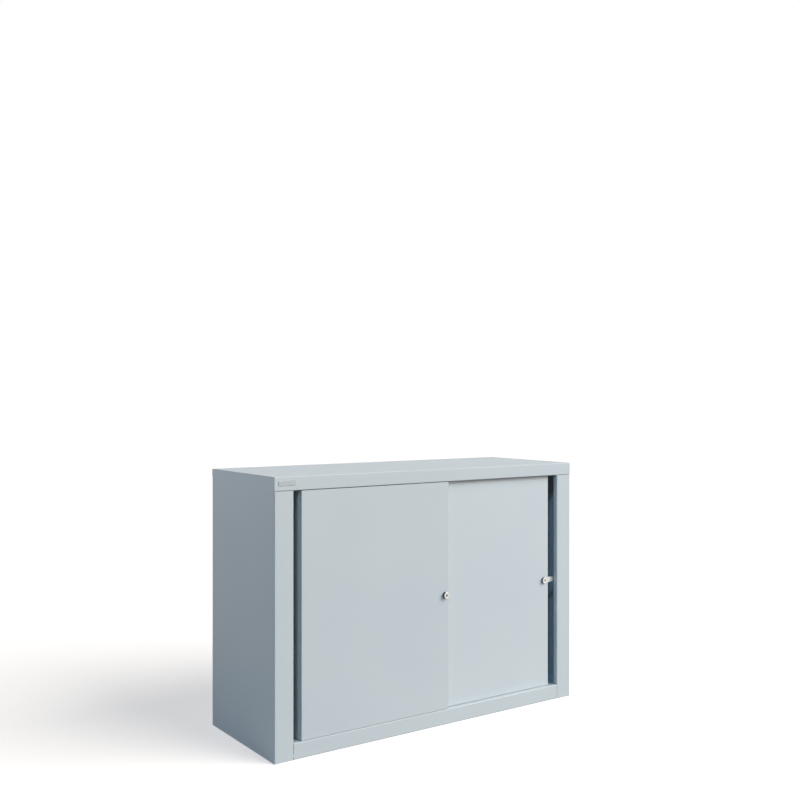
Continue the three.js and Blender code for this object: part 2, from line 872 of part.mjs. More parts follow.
// A spring clip pushed up over the neck, open at its lower side
function rearLockClip() {
  const front = neckGrooveFront + plugClearance;
  const hole = neckRadius - neckGroove + plugClearance;
  const disc = turnedAlongY([
    [0, front],
    [lockClipRadius, front],
    [lockClipRadius, front + lockClipSheet - plugClearance],
    [0, front + lockClipSheet - plugClearance],
  ], rearLockX, rearDoorFace, lockHeight, roundSteps);
  const neck = roundHole(rearLockX, rearDoorFace, lockHeight, hole);
  const mouth = block(
    rearLockX - hole, rearLockX + hole, rearDoorFace - cutOverrun, rearDoorFace + sheet + cutOverrun,
    lockHeight - lockClipRadius - cutOverrun, lockHeight);
  return cut(disc, neck, mouth);
}

function rearLockPlug() {
  const barrel = turnedAlongY([
    [0, rearPlugFront],
    [rearPlugRadius, rearPlugFront],
    [rearPlugRadius, neckEndDepth],
    [0, neckEndDepth],
  ], rearLockX, rearDoorFace, lockHeight, roundSteps);
  const camBack = camFrontDepth + camSheet;
  const drive = block(
    rearLockX - driveSize / 2, rearLockX + driveSize / 2,
    rearDoorFace + rearPlugFront + keyholeDepth, rearDoorFace + camBack,
    lockHeight - driveSize / 2, lockHeight + driveSize / 2);
  const screwHole = turnedAlongY([
    [0, camBack - camScrewLength - seatGap],
    [camScrewRadius + runningClearance, camBack - camScrewLength - seatGap],
    [camScrewRadius + runningClearance, camBack + cutOverrun],
    [0, camBack + cutOverrun],
  ], rearLockX, rearDoorFace, lockHeight, smallRoundSteps);
  return cut(join(barrel, drive), screwHole, keyhole(rearLockX, rearDoorFace, rearPlugFront));
}

function rearLockCam() {
  const toothStart = camLength - camToothWidth;
  const slope = (camHubRadius - camTipHalfHeight) / camLength;
  const points = [
    [toothStart, -camHubRadius + slope * toothStart],
    [toothStart, -camTipHalfHeight - camToothDrop],
    [camLength, -camTipHalfHeight - camToothDrop],
    [camLength, camTipHalfHeight],
  ];
  const hubSteps = roundSteps / 2;
  for (let step = 0; step <= hubSteps; step += 1) {
    const angle = Math.PI * (1 / 2 + step / hubSteps);
    points.push([camHubRadius * Math.cos(angle), camHubRadius * Math.sin(angle)]);
  }
  const placed = points.map(([x, z]) => [rearLockX + x, lockHeight + z]);
  const camFront = rearDoorFace + camFrontDepth;
  const plate = alongY(outline(placed), camFront, camFront + camSheet);
  const half = driveSize / 2 + plugClearance;
  const drive = block(
    rearLockX - half, rearLockX + half, rearDoorFace, rearDoorFace + doorDepth,
    lockHeight - half, lockHeight + half);
  return cut(plate, drive);
}

function rearLockCamScrew() {
  const camBack = camFrontDepth + camSheet;
  const headFront = camBack + seatGap;
  const profile = [
    [0, camBack - camScrewLength],
    [camScrewRadius, camBack - camScrewLength],
    [camScrewRadius, headFront],
    [camScrewHeadRadius, headFront],
    [camScrewHeadRadius, headFront + camScrewHeadHeight],
    [0, headFront + camScrewHeadHeight],
  ];
  return turnedAlongY(profile, rearLockX, rearDoorFace, lockHeight, smallRoundSteps);
}

// Keeper: an angle bracket inside the right stile, with the slot that the cam's tooth drops into
function hookKeeper() {
  const top = lockHeight - keeperDrop;
  const left = fromSide(1, stileWidth) + sheet + keeperInset;
  const path = [
    [frontPlane + behindSheet, top - keeperLeg],
    [frontPlane + behindSheet, top],
    [frontPlane + keeperReachDepth, top],
  ];
  const bracket = alongX(foldedOutline(path, keeperSheet, bendRadius, -1), left, left + keeperWidth);
  const angle = THREE.MathUtils.degToRad(camEngagedAngle);
  const reachAt = (x, z) => x * Math.cos(angle) + z * Math.sin(angle);
  const toothRight = reachAt(camLength, -camTipHalfHeight) + keeperSlotMargin;
  const toothLeft = reachAt(camLength - camToothWidth, -camTipHalfHeight - camToothDrop) - keeperSlotMargin;
  const slot = block(
    rearLockX + toothLeft, rearLockX + toothRight,
    rearDoorFace + camFrontDepth - keeperSlotMargin,
    rearDoorFace + camFrontDepth + camSheet + keeperSlotMargin,
    top - keeperSheet - cutOverrun, top + cutOverrun);
  return cut(bracket, slot);
}

function namePlate() {
  const left = fromSide(-1, plateInset);
  const bottom = fasciaBottom + plateRise;
  const shape = new THREE.Shape();
  const right = left + plateWidth;
  const top = bottom + plateHeight;
  shape.absarc(right - plateCorner, bottom + plateCorner, plateCorner, -Math.PI / 2, 0);
  shape.absarc(right - plateCorner, top - plateCorner, plateCorner, 0, Math.PI / 2);
  shape.absarc(left + plateCorner, top - plateCorner, plateCorner, Math.PI / 2, Math.PI);
  shape.absarc(left + plateCorner, bottom + plateCorner, plateCorner, Math.PI, 3 * Math.PI / 2);
  const rounded = outline(shape.getPoints(bendSteps).map((point) => [point.x, point.y]));
  return alongY(rounded, frontPlane - seatGap - plateThickness, frontPlane - seatGap);
}

// Assembly
for (const [name, side] of sides) {
  place(`${name}_side_panel`, sidePanel(side), paintedSteel);
  place(`${name}_liner`, liner(side, linerFronts[name]), paintedSteel);
  place(`${name}_base_channel`, baseChannel(side), zincPlatedSteel);
  for (const [end, y] of slotRows()) {
    place(`shelf_clip_${end}_${name}`, shelfClip(side, y), zincPlatedSteel);
  }
  for (const [end, y] of glidePlaces) {
    place(`glide_${end}_${name}`, glide(side, y), blackNylon);
  }
}
place('top_panel', topPanel(), paintedSteel);
place('back_panel', backPanel(), paintedSteel);
place('bottom_rail', bottomRail(), paintedSteel);
place('floor_panel', floorPanel(), paintedSteel);
place('shelf', shelf(), paintedSteel);
place('top_track', topTrack(), zincPlatedSteel);
place('name_plate', namePlate(), plateMetal);
place('hook_keeper', hookKeeper(), zincPlatedSteel);

for (const [door, left, face] of doors) {
  place(`${door}_door_stiffener`, doorStiffener(left, face), paintedSteel);
  place(`${door}_door_channel`, doorChannel(left, face), zincPlatedSteel);
  place(`${door}_door_guide`, doorGuide(face), whiteNylon);
  place(`${door}_guide_screw`, guideScrew(face), zincPlatedSteel);
  for (const [end, x] of hangerCentres(left)) {
    place(`${door}_${end}_hanger`, hanger(x, face), zincPlatedSteel);
    place(`${door}_${end}_axle`, axle(x, face), springSteel);
    place(`${door}_${end}_roller`, roller(x, face), whiteNylon);
  }
  const [[, leftRoller], [, rightRoller]] = hangerCentres(left);
  const travel = door === 'front' ? [0, doorTravel] : [-doorTravel, 0];
  const reach = rollerRadius + seatGap;
  place(`${door}_track_left_stop`, trackStop(face, leftRoller + travel[0] - reach, -1), greyRubber);
  place(`${door}_track_right_stop`, trackStop(face, rightRoller + travel[1] + reach, 1), greyRubber);
}
place('front_door_panel', frontDoorPanel(), paintedSteel);
place('rear_door_panel', rearDoorPanel(), paintedSteel);

place('front_lock_housing', frontLockHousing(), zincPlatedSteel);
place('front_lock_plunger', frontLockPlunger(), nickelPlate);
place('front_lock_plug', frontLockPlug(), nickelPlate);
place('front_lock_spring', frontLockSpring(), springSteel);
place('rear_lock_cylinder', rearLockCylinder(), nickelPlate);
place('rear_lock_clip', rearLockClip(), springSteel);
place('rear_lock_plug', rearLockPlug(), nickelPlate);
place('rear_lock_cam', rearLockCam(), nickelPlate);
place('rear_lock_cam_screw', rearLockCamScrew(), zincPlatedSteel);

export default cabinet;
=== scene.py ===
# Looks of a low sliding door cabinet in folded, painted sheet steel, laid out as a Blender add-on.
# Metres, +Z up, the doors facing -Y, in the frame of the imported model.
import json
import math

import bmesh
import bpy
from bpy.props import FloatProperty, FloatVectorProperty, IntProperty, PointerProperty
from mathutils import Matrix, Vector


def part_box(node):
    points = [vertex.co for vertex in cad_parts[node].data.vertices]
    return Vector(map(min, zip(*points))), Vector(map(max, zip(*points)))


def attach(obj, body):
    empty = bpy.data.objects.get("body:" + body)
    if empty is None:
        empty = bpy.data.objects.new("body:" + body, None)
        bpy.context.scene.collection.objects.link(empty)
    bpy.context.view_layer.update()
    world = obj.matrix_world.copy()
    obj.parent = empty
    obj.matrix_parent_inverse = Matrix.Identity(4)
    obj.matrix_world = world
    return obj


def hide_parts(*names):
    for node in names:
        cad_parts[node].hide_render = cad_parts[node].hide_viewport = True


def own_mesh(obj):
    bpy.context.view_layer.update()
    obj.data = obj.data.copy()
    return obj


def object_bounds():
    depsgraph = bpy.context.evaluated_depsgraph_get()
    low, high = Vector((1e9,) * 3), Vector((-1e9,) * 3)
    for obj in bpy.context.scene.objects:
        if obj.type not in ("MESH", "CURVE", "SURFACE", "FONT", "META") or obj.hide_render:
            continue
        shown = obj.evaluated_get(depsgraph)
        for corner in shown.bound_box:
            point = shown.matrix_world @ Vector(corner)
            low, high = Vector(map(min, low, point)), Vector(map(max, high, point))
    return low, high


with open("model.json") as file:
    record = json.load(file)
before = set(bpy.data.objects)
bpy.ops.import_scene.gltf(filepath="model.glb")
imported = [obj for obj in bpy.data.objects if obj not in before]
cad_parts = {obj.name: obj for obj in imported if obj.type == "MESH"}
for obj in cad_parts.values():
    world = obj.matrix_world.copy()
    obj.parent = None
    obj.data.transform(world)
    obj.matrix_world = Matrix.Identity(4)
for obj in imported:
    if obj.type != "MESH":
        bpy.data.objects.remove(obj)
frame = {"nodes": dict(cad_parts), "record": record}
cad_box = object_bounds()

bl_info = {
    "name": "Sliding Door Cabinet Looks",
    "version": (1, 0, 0),
    "blender": (4, 5, 0),
    "location": "View3D > Sidebar > Cabinet",
    "description": "Dresses the parts of a steel sliding door cabinet and sets its studio",
    "category": "Object",
}

MM = 0.001
BODY_OF = {node: body for body, nodes in frame["record"]["behaviour"]["bodies"].items() for node in nodes}
SLOT_OF = {part["node"]: part["material_slot"] for part in frame["record"]["subparts"]}
DOORS = ("front", "rear")
ENDS = ("left", "right")
DEPTHS = ("front", "back")
PAINTED_SHEETS = [node for node, slot in SLOT_OF.items() if slot == "painted_steel"]
PRESSED_PARTS = [
    "top_track", "hook_keeper", "left_base_channel", "right_base_channel",
    *[f"shelf_clip_{depth}_{end}" for end in ENDS for depth in DEPTHS],
    *[f"{door}_door_channel" for door in DOORS],
    *[f"{door}_{end}_hanger" for door in DOORS for end in ENDS],
]

SHEET = MM  # thickness of the folded sheets
OVERRUN = MM  # how far a cutter starts in front of what it cuts, and ends behind it
ONE_POINT = 0.002 * MM  # points closer than this are one
ONE_FACE = math.radians(0.5)  # faces that turn less than this are one flat face
ROUNDED_FROM = math.radians(40)  # an edge that turns more than this is rounded
SHARP_FROM = math.radians(35)  # an edge that turns more than this is shaded sharp
UP_TO_BACK = (-math.pi / 2, 0, 0)  # turns what points to +Z towards +Y


def from_hex(code):
    """The linear colour of an sRGB hex code."""
    parts = [int(code[at:at + 2], 16) / 255 for at in (1, 3, 5)]
    return tuple(p / 12.92 if p <= 0.04045 else ((p + 0.055) / 1.055) ** 2.4 for p in parts)


def colour_setting(name, code, description):
    return FloatVectorProperty(
        name=name, description=description, subtype="COLOR", size=3, min=0, max=1, default=from_hex(code))


def length_setting(name, millimetres, description):
    return FloatProperty(
        name=name, description=description, subtype="DISTANCE", unit="LENGTH", min=0,
        default=millimetres * MM)


def angle_setting(name, degrees, description):
    return FloatProperty(
        name=name, description=description, subtype="ANGLE", default=math.radians(degrees))


def level_setting(name, level, description):
    return FloatProperty(name=name, description=description, min=0, default=level)


def place_setting(name, place, description):
    return FloatVectorProperty(
        name=name, description=description, subtype="TRANSLATION", unit="LENGTH", size=3, default=place)


class CabinetPaint(bpy.types.PropertyGroup):
    """The powder coat on the folded sheets."""

    colour: colour_setting("Paint colour", "#c2cace", "Colour of the powder coat")
    shade: colour_setting("Thin paint colour", "#bbc4ca", "Colour where the coat is a little thinner")
    peel: length_setting("Orange peel", 4, "Distance from one bump of the coat to the next")
    peel_depth: length_setting("Peel depth", 0.06, "Height of the bumps of the coat")
    cloud: length_setting("Cloudiness", 260, "Size of the soft patches of thinner and thicker coat")
    edge: length_setting("Sheet edge", 0.25, "Rounding that the coat gives to a sheared sheet edge")
    # The rear door's lighter copy of the coat is painted light that brightens that door.
    rear_painted_light_colour: colour_setting("Rear door colour", "#c6ced2", "Colour of the rear door's lighter batch")
    rear_painted_light_shade: colour_setting("Rear door thin paint", "#bfc8ce", "Its colour where the coat is thinner")


class CabinetMetal(bpy.types.PropertyGroup):
    """Plated and bare metal parts."""

    zinc: colour_setting("Zinc", "#b9bec0", "Colour of bright zinc plate")
    zinc_shade: colour_setting("Zinc shade", "#9fa6aa", "Colour of its duller patches")
    nickel: colour_setting("Nickel", "#cbccca", "Colour of polished nickel plate")
    # The dark side of a lock's barrel is painted shade and dark reflection.
    barrel: colour_setting("Lock barrel", "#5a5f63", "Colour of the dull side of a lock's barrel")
    # Near black inside a keyhole: painted shade in the slot.
    keyhole_shade: colour_setting("Keyway", "#16181a", "Colour inside a keyhole")
    spring: colour_setting("Spring wire", "#9a9c9e", "Colour of drawn spring wire")
    plate: colour_setting("Name plate", "#9fa5a9", "Colour of the blank anodised plate")
    edge: length_setting("Part edge", 0.2, "Rounding of stamped and turned edges")


class CabinetPlastic(bpy.types.PropertyGroup):
    """Moulded plastic and rubber parts."""

    white_nylon: colour_setting("White nylon", "#e9e7e0", "Colour of the rollers and guides")
    black_nylon: colour_setting("Black nylon", "#222426", "Colour of the glides")
    rubber: colour_setting("Rubber", "#4a4d50", "Colour of the track stops")
    edge: length_setting("Moulded edge", 0.4, "Rounding of moulded edges")


class CabinetLocks(bpy.types.PropertyGroup):
    """Sizes of the visible lock details."""

    keyhole_width: length_setting("Keyhole width", 4.0, "Width of a keyhole")
    keyhole_height: length_setting("Keyhole height", 7.0, "Height of a keyhole")
    keyhole_corner: length_setting("Keyhole corner", 0.7, "Rounding of a keyhole's corners")
    keyhole_depth: length_setting("Keyhole depth", 3.5, "Depth of a keyhole")
    rim: length_setting("Rim", 0.7, "Rounding of a lock's front rim")


class CabinetFixings(bpy.types.PropertyGroup):
    """Spot welds and rivets."""

    weld_pitch: length_setting("Weld pitch", 60, "Distance between spot welds in a row")
    weld_radius: length_setting("Weld radius", 2.6, "Radius of a spot weld's mark")
    weld_height: length_setting("Weld height", 0.3, "How far a spot weld's mark stands out")
    rivet_pitch: length_setting("Rivet pitch", 24, "Distance between a hanger's two rivets")
    rivet_radius: length_setting("Rivet radius", 2.8, "Radius of a rivet's head")
    rivet_height: length_setting("Rivet height", 0.8, "Height of a rivet's head")
    head_sides: IntProperty(
        name="Head sides", description="Sides of a round head", min=8, max=32, default=16)


class CabinetStage(bpy.types.PropertyGroup):
    """Camera, lamps and floor."""

    camera_place: place_setting("Camera place", (-1.6507, -2.3755, 0.9018), "Where the camera stands")
    camera_heading: angle_setting(
        "Camera heading", 34.83, "Turn of the level camera from +Y towards +X")
    lens: FloatProperty(name="Lens", description="Focal length in millimetres", min=10, default=44.685)
    key_height: angle_setting("Key height", 34.9, "Height of the main lamp over the horizon")
    key_heading: angle_setting(
        "Key heading", 37, "Turn of the main lamp to the right of the doors' normal")
    key_width: angle_setting("Key width", 50, "Angle that the main lamp fills, which softens the shadow")
    key: colour_setting("Key", "#fff8ee", "Colour of the main lamp")
    key_strength: level_setting("Key strength", 3.07, "Level of the main lamp in watts a square metre")
    fill_height: angle_setting("Fill height", 35, "Height of the fill lamp over the horizon")
    fill_heading: angle_setting(
        "Fill heading", -44, "Turn of the fill lamp to the right of the doors' normal")
    fill_width: angle_setting("Fill width", 6, "Angle that the fill lamp fills")
    fill: colour_setting("Fill", "#95d4ff", "Colour of the fill lamp, which lights the gaps")
    fill_strength: level_setting("Fill strength", 0.7, "Level of the fill lamp in watts a square metre")
    back_height: angle_setting("Back height", 11, "Height of the back lamp over the horizon")
    back_heading: angle_setting(
        "Back heading", -162, "Turn of the back lamp to the right of the doors' normal")
    back_width: angle_setting("Back width", 20, "Angle that the back lamp fills")
    back: colour_setting("Back", "#f5f9fb", "Colour of the lamp behind, for the back and the left end")
    back_strength: level_setting("Back strength", 0.85, "Level of the back lamp in watts a square metre")
    wing_place: place_setting(
        "Wing place", (2.7, -2.0, 1.7), "Where the lamp by the right-hand end stands")
    wing_size: length_setting("Wing size", 1200, "Side of the square lamp by the right-hand end")
    wing_power: level_setting("Wing power", 23, "Power of the lamp by the right-hand end in watts")
    sky: colour_setting("Sky", "#dde9f8", "Colour of the soft light from all round")
    sky_strength: level_setting("Sky strength", 0.135, "Level of the soft light from all round")
    floor: colour_setting("Floor", "#e7e7e7", "Colour of the pale floor where it is seen")
    bounce: colour_setting("Floor bounce", "#a0a0a0", "Colour of the floor for the light that it gives back")
    lift: colour_setting("Floor lift", "#c2c1c1", "What a view of the floor gains over its lit colour")
    floor_side: length_setting("Floor side", 60000, "Side of the square floor")


class CabinetLooks(bpy.types.PropertyGroup):
    """All the settings of the cabinet's looks."""

    paint: PointerProperty(type=CabinetPaint)
    metal: PointerProperty(type=CabinetMetal)
    plastic: PointerProperty(type=CabinetPlastic)
    locks: PointerProperty(type=CabinetLocks)
    fixings: PointerProperty(type=CabinetFixings)
    stage: PointerProperty(type=CabinetStage)


def looks():
    return bpy.context.scene.cabinet_looks


# Nodes and materials
def add_node(tree, kind, inputs=None, **settings):
    """Adds a node, sets its properties, and gives its inputs a value or a link each."""
    node = tree.nodes.new(kind)
    for name, value in settings.items():
        setattr(node, name, value)
    for name, value in (inputs or {}).items():
        if isinstance(value, bpy.types.NodeSocket):
            tree.links.new(value, node.inputs[name])
        else:
            node.inputs[name].default_value = value
    return node


def opaque(colour):
    return (*colour, 1)


def new_material(name, values=None):
    """A material with plain values on its shader: its tree, its shader and the object coordinates."""
    material = bpy.data.materials.new(name)
    material.use_nodes = True
    tree = material.node_tree
    tree.nodes.clear()
    shader = add_node(tree, "ShaderNodeBsdfPrincipled", values)
    add_node(tree, "ShaderNodeOutputMaterial", {"Surface": shader.outputs["BSDF"]})
    coords = add_node(tree, "ShaderNodeTexCoord").outputs["Object"]
    return material, tree, shader, coords


def feed(tree, shader, **sources):
    """Links outputs to the shader's inputs of the same name."""
    for name, source in sources.items():
        tree.links.new(source, shader.inputs[name.replace("_", " ")])


def powder_coat(name, colour, shade):
    """Polyester powder coat on cold-rolled steel, sprayed dry and baked.

    It gives the eye an even satin skin. The real orange peel is 1 to 2 mm from bump to bump and is drawn
    coarser, so that its soft sparkle shows, and the coat is faintly cloudy over a hand's width.
    """
    paint = looks().paint
    material, tree, shader, coords = new_material(name)
    cloud = add_node(
        tree, "ShaderNodeTexNoise", {"Vector": coords, "Scale": 1 / paint.cloud, "Detail": 1.0})
    tone = add_node(tree, "ShaderNodeMixRGB", {
        "Fac": cloud.outputs["Fac"], "Color1": opaque(shade), "Color2": opaque(colour)})
    peel = add_node(tree, "ShaderNodeTexNoise", {"Vector": coords, "Scale": 1 / paint.peel, "Detail": 2.0})
    bump = add_node(tree, "ShaderNodeBump", {
        "Strength": 0.7, "Distance": paint.peel_depth, "Height": peel.outputs["Fac"]})
    rough = add_node(tree, "ShaderNodeMapRange", {
        "Value": peel.outputs["Fac"], "To Min": 0.4, "To Max": 0.52})
    feed(tree, shader, Base_Color=tone.outputs["Color"], Roughness=rough.outputs["Result"],
         Normal=bump.outputs["Normal"])
    return material


def zinc_plate(name):
    """Bright zinc plate with a clear passivation, on pressed steel.

    It gives the eye a cool metal, faintly cloudy in patches about 7 mm across, with streaks from the
    rolling mill.
    """
    metal = looks().metal
    patch_size = 7 * MM
    streak_size = 1.5 * MM
    streak_stretch = (0.04, 1, 1)
    material, tree, shader, coords = new_material(name, {"Metallic": 1})
    patches = add_node(tree, "ShaderNodeTexVoronoi", {"Vector": coords, "Scale": 1 / patch_size})
    tone = add_node(tree, "ShaderNodeMixRGB", {
        "Fac": patches.outputs["Color"], "Color1": opaque(metal.zinc_shade), "Color2": opaque(metal.zinc)})
    along = add_node(tree, "ShaderNodeMapping", {"Vector": coords, "Scale": streak_stretch})
    streak = add_node(tree, "ShaderNodeTexNoise", {
        "Vector": along.outputs["Vector"], "Scale": 1 / streak_size, "Detail": 3.0})
    rough = add_node(tree, "ShaderNodeMapRange", {
        "Value": streak.outputs["Fac"], "To Min": 0.26, "To Max": 0.46})
    bump = add_node(tree, "ShaderNodeBump", {
        "Strength": 0.3, "Distance": 0.01 * MM, "Height": streak.outputs["Fac"]})
    feed(tree, shader, Base_Color=tone.outputs["Color"], Roughness=rough.outputs["Result"],
         Normal=bump.outputs["Normal"])
    return material


def polished_nickel(name, centre, low, high):
    """Nickel plate over a turned face, polished or left satin, with roughness from low to high.

    It gives the eye a warm bright metal with fine rings round the middle, from the lathe, and light
    fingerprints. The real rings are 0.1 mm apart and are drawn at 0.5 mm.
    """
    ring_gap = 0.5 * MM
    wave_scale = math.pi / (10 * ring_gap)  # at scale 1 the rings are a tenth of pi apart
    print_size = 3 * MM
    material, tree, shader, coords = new_material(
        name, {"Base Color": opaque(looks().metal.nickel), "Metallic": 1})
    centred = add_node(tree, "ShaderNodeMapping", {"Vector": coords, "Location": -centre})
    rings = add_node(tree, "ShaderNodeTexWave", {
        "Vector": centred.outputs["Vector"], "Scale": wave_scale, "Distortion": 0.6, "Detail": 1.0},
        wave_type="RINGS", rings_direction="Y")
    prints = add_node(tree, "ShaderNodeTexNoise", {"Vector": coords, "Scale": 1 / print_size, "Detail": 3.0})
    rough = add_node(tree, "ShaderNodeMapRange", {
        "Value": prints.outputs["Fac"], "To Min": low, "To Max": high})
    bump = add_node(tree, "ShaderNodeBump", {
        "Strength": 0.25, "Distance": 0.01 * MM, "Height": rings.outputs["Fac"]})
    feed(tree, shader, Roughness=rough.outputs["Result"], Normal=bump.outputs["Normal"])
    return material


def painted_shade_metal(name, colour):
    """Dark metal drawn as painted shade: on the side of a lock's barrel it stands for shade and dark
    reflection, and inside a keyhole it stands for the shade in the slot.

    It gives the eye a dark, soft-edged metal with the fine grain of the tumbling drum, so that the bright
    face stands off the door and the keyhole reads as a hole.
    """
    grain_size = 0.6 * MM
    material, tree, shader, coords = new_material(name, {"Base Color": opaque(colour), "Metallic": 0.6})
    grain = add_node(tree, "ShaderNodeTexNoise", {"Vector": coords, "Scale": 1 / grain_size, "Detail": 4.0})
    rough = add_node(tree, "ShaderNodeMapRange", {
        "Value": grain.outputs["Fac"], "To Min": 0.4, "To Max": 0.6})
    bump = add_node(tree, "ShaderNodeBump", {
        "Strength": 0.3, "Distance": 0.02 * MM, "Height": grain.outputs["Fac"]})
    feed(tree, shader, Roughness=rough.outputs["Result"], Normal=bump.outputs["Normal"])
    return material


def drawn_spring_steel(name):
    """Oil-tempered spring steel, drawn through a die, for the spring, the clip and the stub axles.

    It gives the eye a grey bright metal with fine lines along the drawing direction. The real lines are
    under 0.1 mm wide and are drawn at 0.4 mm.
    """
    line_size = 0.4 * MM
    line_stretch = (1, 0.1, 1)
    material, tree, shader, coords = new_material(
        name, {"Base Color": opaque(looks().metal.spring), "Metallic": 1})
    along = add_node(tree, "ShaderNodeMapping", {"Vector": coords, "Scale": line_stretch})
    lines = add_node(tree, "ShaderNodeTexNoise", {
        "Vector": along.outputs["Vector"], "Scale": 1 / line_size, "Detail": 2.0})
    rough = add_node(tree, "ShaderNodeMapRange", {
        "Value": lines.outputs["Fac"], "To Min": 0.2, "To Max": 0.4})
    feed(tree, shader, Roughness=rough.outputs["Result"])
    return material


def anodised_plate(name):
    """Anodised aluminium sheet, brushed lengthways before it was dyed.

    It gives the eye a satin grey with a fine horizontal brush grain. The real lines are 0.05 mm wide and
    are drawn at 0.3 mm.
    """
    line_size = 0.3 * MM
    line_stretch = (0.03, 1, 1)
    material, tree, shader, coords = new_material(
        name, {"Base Color": opaque(looks().metal.plate), "Metallic": 1})
    along = add_node(tree, "ShaderNodeMapping", {"Vector": coords, "Scale": line_stretch})
    brush = add_node(tree, "ShaderNodeTexNoise", {
        "Vector": along.outputs["Vector"], "Scale": 1 / line_size, "Detail": 2.0})
    rough = add_node(tree, "ShaderNodeMapRange", {
        "Value": brush.outputs["Fac"], "To Min": 0.28, "To Max": 0.42})
    bump = add_node(tree, "ShaderNodeBump", {
        "Strength": 0.3, "Distance": 0.01 * MM, "Height": brush.outputs["Fac"]})
    feed(tree, shader, Roughness=rough.outputs["Result"], Normal=bump.outputs["Normal"])
    return material


def moulded(name, colour, low, high):
    """Injection-moulded nylon or rubber, with roughness from low to high.

    It gives the eye a soft sheen broken by the fine spark-eroded grain of the mould, about 0.5 mm, and
    faint flow marks a tenth darker.
    """
    grain_size = 0.5 * MM
    flow_size = 9 * MM
    darker = [0.9 * part for part in colour]
    material, tree, shader, coords = new_material(name)
    grain = add_node(tree, "ShaderNodeTexNoise", {"Vector": coords, "Scale": 1 / grain_size, "Detail": 2.0})
    rough = add_node(tree, "ShaderNodeMapRange", {
        "Value": grain.outputs["Fac"], "To Min": low, "To Max": high})
    bump = add_node(tree, "ShaderNodeBump", {
        "Strength": 0.25, "Distance": 0.02 * MM, "Height": grain.outputs["Fac"]})
    flow = add_node(tree, "ShaderNodeTexNoise", {"Vector": coords, "Scale": 1 / flow_size, "Detail": 1.0})
    tone = add_node(tree, "ShaderNodeMixRGB", {
        "Fac": flow.outputs["Fac"], "Color1": opaque(darker), "Color2": opaque(colour)})
    feed(tree, shader, Base_Color=tone.outputs["Color"], Roughness=rough.outputs["Result"],
         Normal=bump.outputs["Normal"])
    return material


def material_named(name, make, *details):
    """A material is made once and then shared."""
    return bpy.data.materials.get(name) or make(name, *details)


def rear_door_painted_light_coat():
    """The rear door's copy of the paint, a touch lighter: painted light that brightens the rear door."""
    paint = looks().paint
    return material_named("satin_powder_coat_rear_painted_light", powder_coat, paint.rear_painted_light_colour, paint.rear_painted_light_shade)


def finish_of(slot):
    """The shared material of a slot of the record."""
    paint = looks().paint
    plastic = looks().plastic
    makers = {
        "painted_steel": ("satin_powder_coat", powder_coat, paint.colour, paint.shade),
        "zinc_plated_steel": ("passivated_zinc_plate", zinc_plate),
        "spring_steel": ("drawn_spring_steel", drawn_spring_steel),
        "plate_metal": ("brushed_anodised_aluminium", anodised_plate),
        "white_nylon": ("moulded_white_nylon", moulded, plastic.white_nylon, 0.35, 0.5),
        "black_nylon": ("moulded_black_nylon", moulded, plastic.black_nylon, 0.4, 0.6),
        "grey_rubber": ("moulded_rubber", moulded, plastic.rubber, 0.75, 0.95),
    }
    return material_named(*makers[slot])


# Shapes
def put(name, data):
    """A new object at the origin, in the scene."""
    thing = bpy.data.objects.new(name, data)
    bpy.context.scene.collection.objects.link(thing)
    return thing


def link_piece(name, mesh, materials):
    """A new piece with a mesh and its materials."""
    piece = put(name, mesh)
    mesh.materials.clear()
    for material in materials:
        mesh.materials.append(material)
    return piece


def stand_for(piece, node):
    """The piece takes a CAD node's place and body, and the node is hidden."""
    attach(piece, BODY_OF[node])
    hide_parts(node)
    return piece


def smooth(mesh):
    """Smooth shading, with the sharp edges kept."""
    mesh.shade_smooth()
    mesh.set_sharp_from_angle(angle=SHARP_FROM)


def soften(piece, width):
    """Rounds the sharp edges, and keeps the flat faces flat under smooth shading."""
    bevel = piece.modifiers.new("Rounded edges", "BEVEL")
    bevel.width = width
    bevel.segments = 2
    bevel.limit_method = "ANGLE"
    bevel.angle_limit = ROUNDED_FROM
    bevel.use_clamp_overlap = True
    normals = piece.modifiers.new("Flat faces", "WEIGHTED_NORMAL")
    normals.keep_sharp = False
    piece.data.shade_smooth()


def whole_copy(node, ending, material=None):
    """The node's own shape with its doubles merged and its flat faces whole."""
    mesh = frame["nodes"][node].data.copy()
    mesh.name = f"{node}_{ending}"
    shape = bmesh.new()
    shape.from_mesh(mesh)
    bmesh.ops.remove_doubles(shape, verts=shape.verts, dist=ONE_POINT)
    bmesh.ops.dissolve_limit(shape, angle_limit=ONE_FACE, verts=shape.verts, edges=shape.edges)
    shape.to_mesh(mesh)
    shape.free()
    return link_piece(mesh.name, mesh, [material or finish_of(SLOT_OF[node])])


def finer_copy(node, width, ending="finished", material=None):
    """The node's own shape with its edges rounded."""
    piece = whole_copy(node, ending, material)
    soften(piece, width)
    return stand_for(piece, node)


def rounded_profile(points, radius):
    """A closed profile whose corners are turned into curves that start where an arc of the radius would.

    A point is (u, v), or (u, v, 0) for a corner that stays sharp. Where a side is too short for the
    radius, its curves meet in its middle.
    """
    steps = 4
    made = []
    count = len(points)
    for at, point in enumerate(points):
        corner = Vector(point[:2])
        before = Vector(points[at - 1][:2]) - corner
        after = Vector(points[(at + 1) % count][:2]) - corner
        room = min(before.length, after.length) / 2
        if len(point) == 3 or room == 0:
            made.append(tuple(corner))
            continue
        half = before.angle(after) / 2
        reach = min(radius / math.tan(half), room)
        start, end = corner + reach * before.normalized(), corner + reach * after.normalized()
        for step in range(steps + 1):
            share = step / steps
            pull = (1 - share) ** 2 * start + 2 * share * (1 - share) * corner + share ** 2 * end
            made.append(tuple(pull))
    return made


def closed_mesh(name, shape):
    """The shape as a mesh, with its faces turned outwards."""
    bmesh.ops.recalc_face_normals(shape, faces=shape.faces)
    mesh = bpy.data.meshes.new(name)
    shape.to_mesh(mesh)
    shape.free()
    return mesh


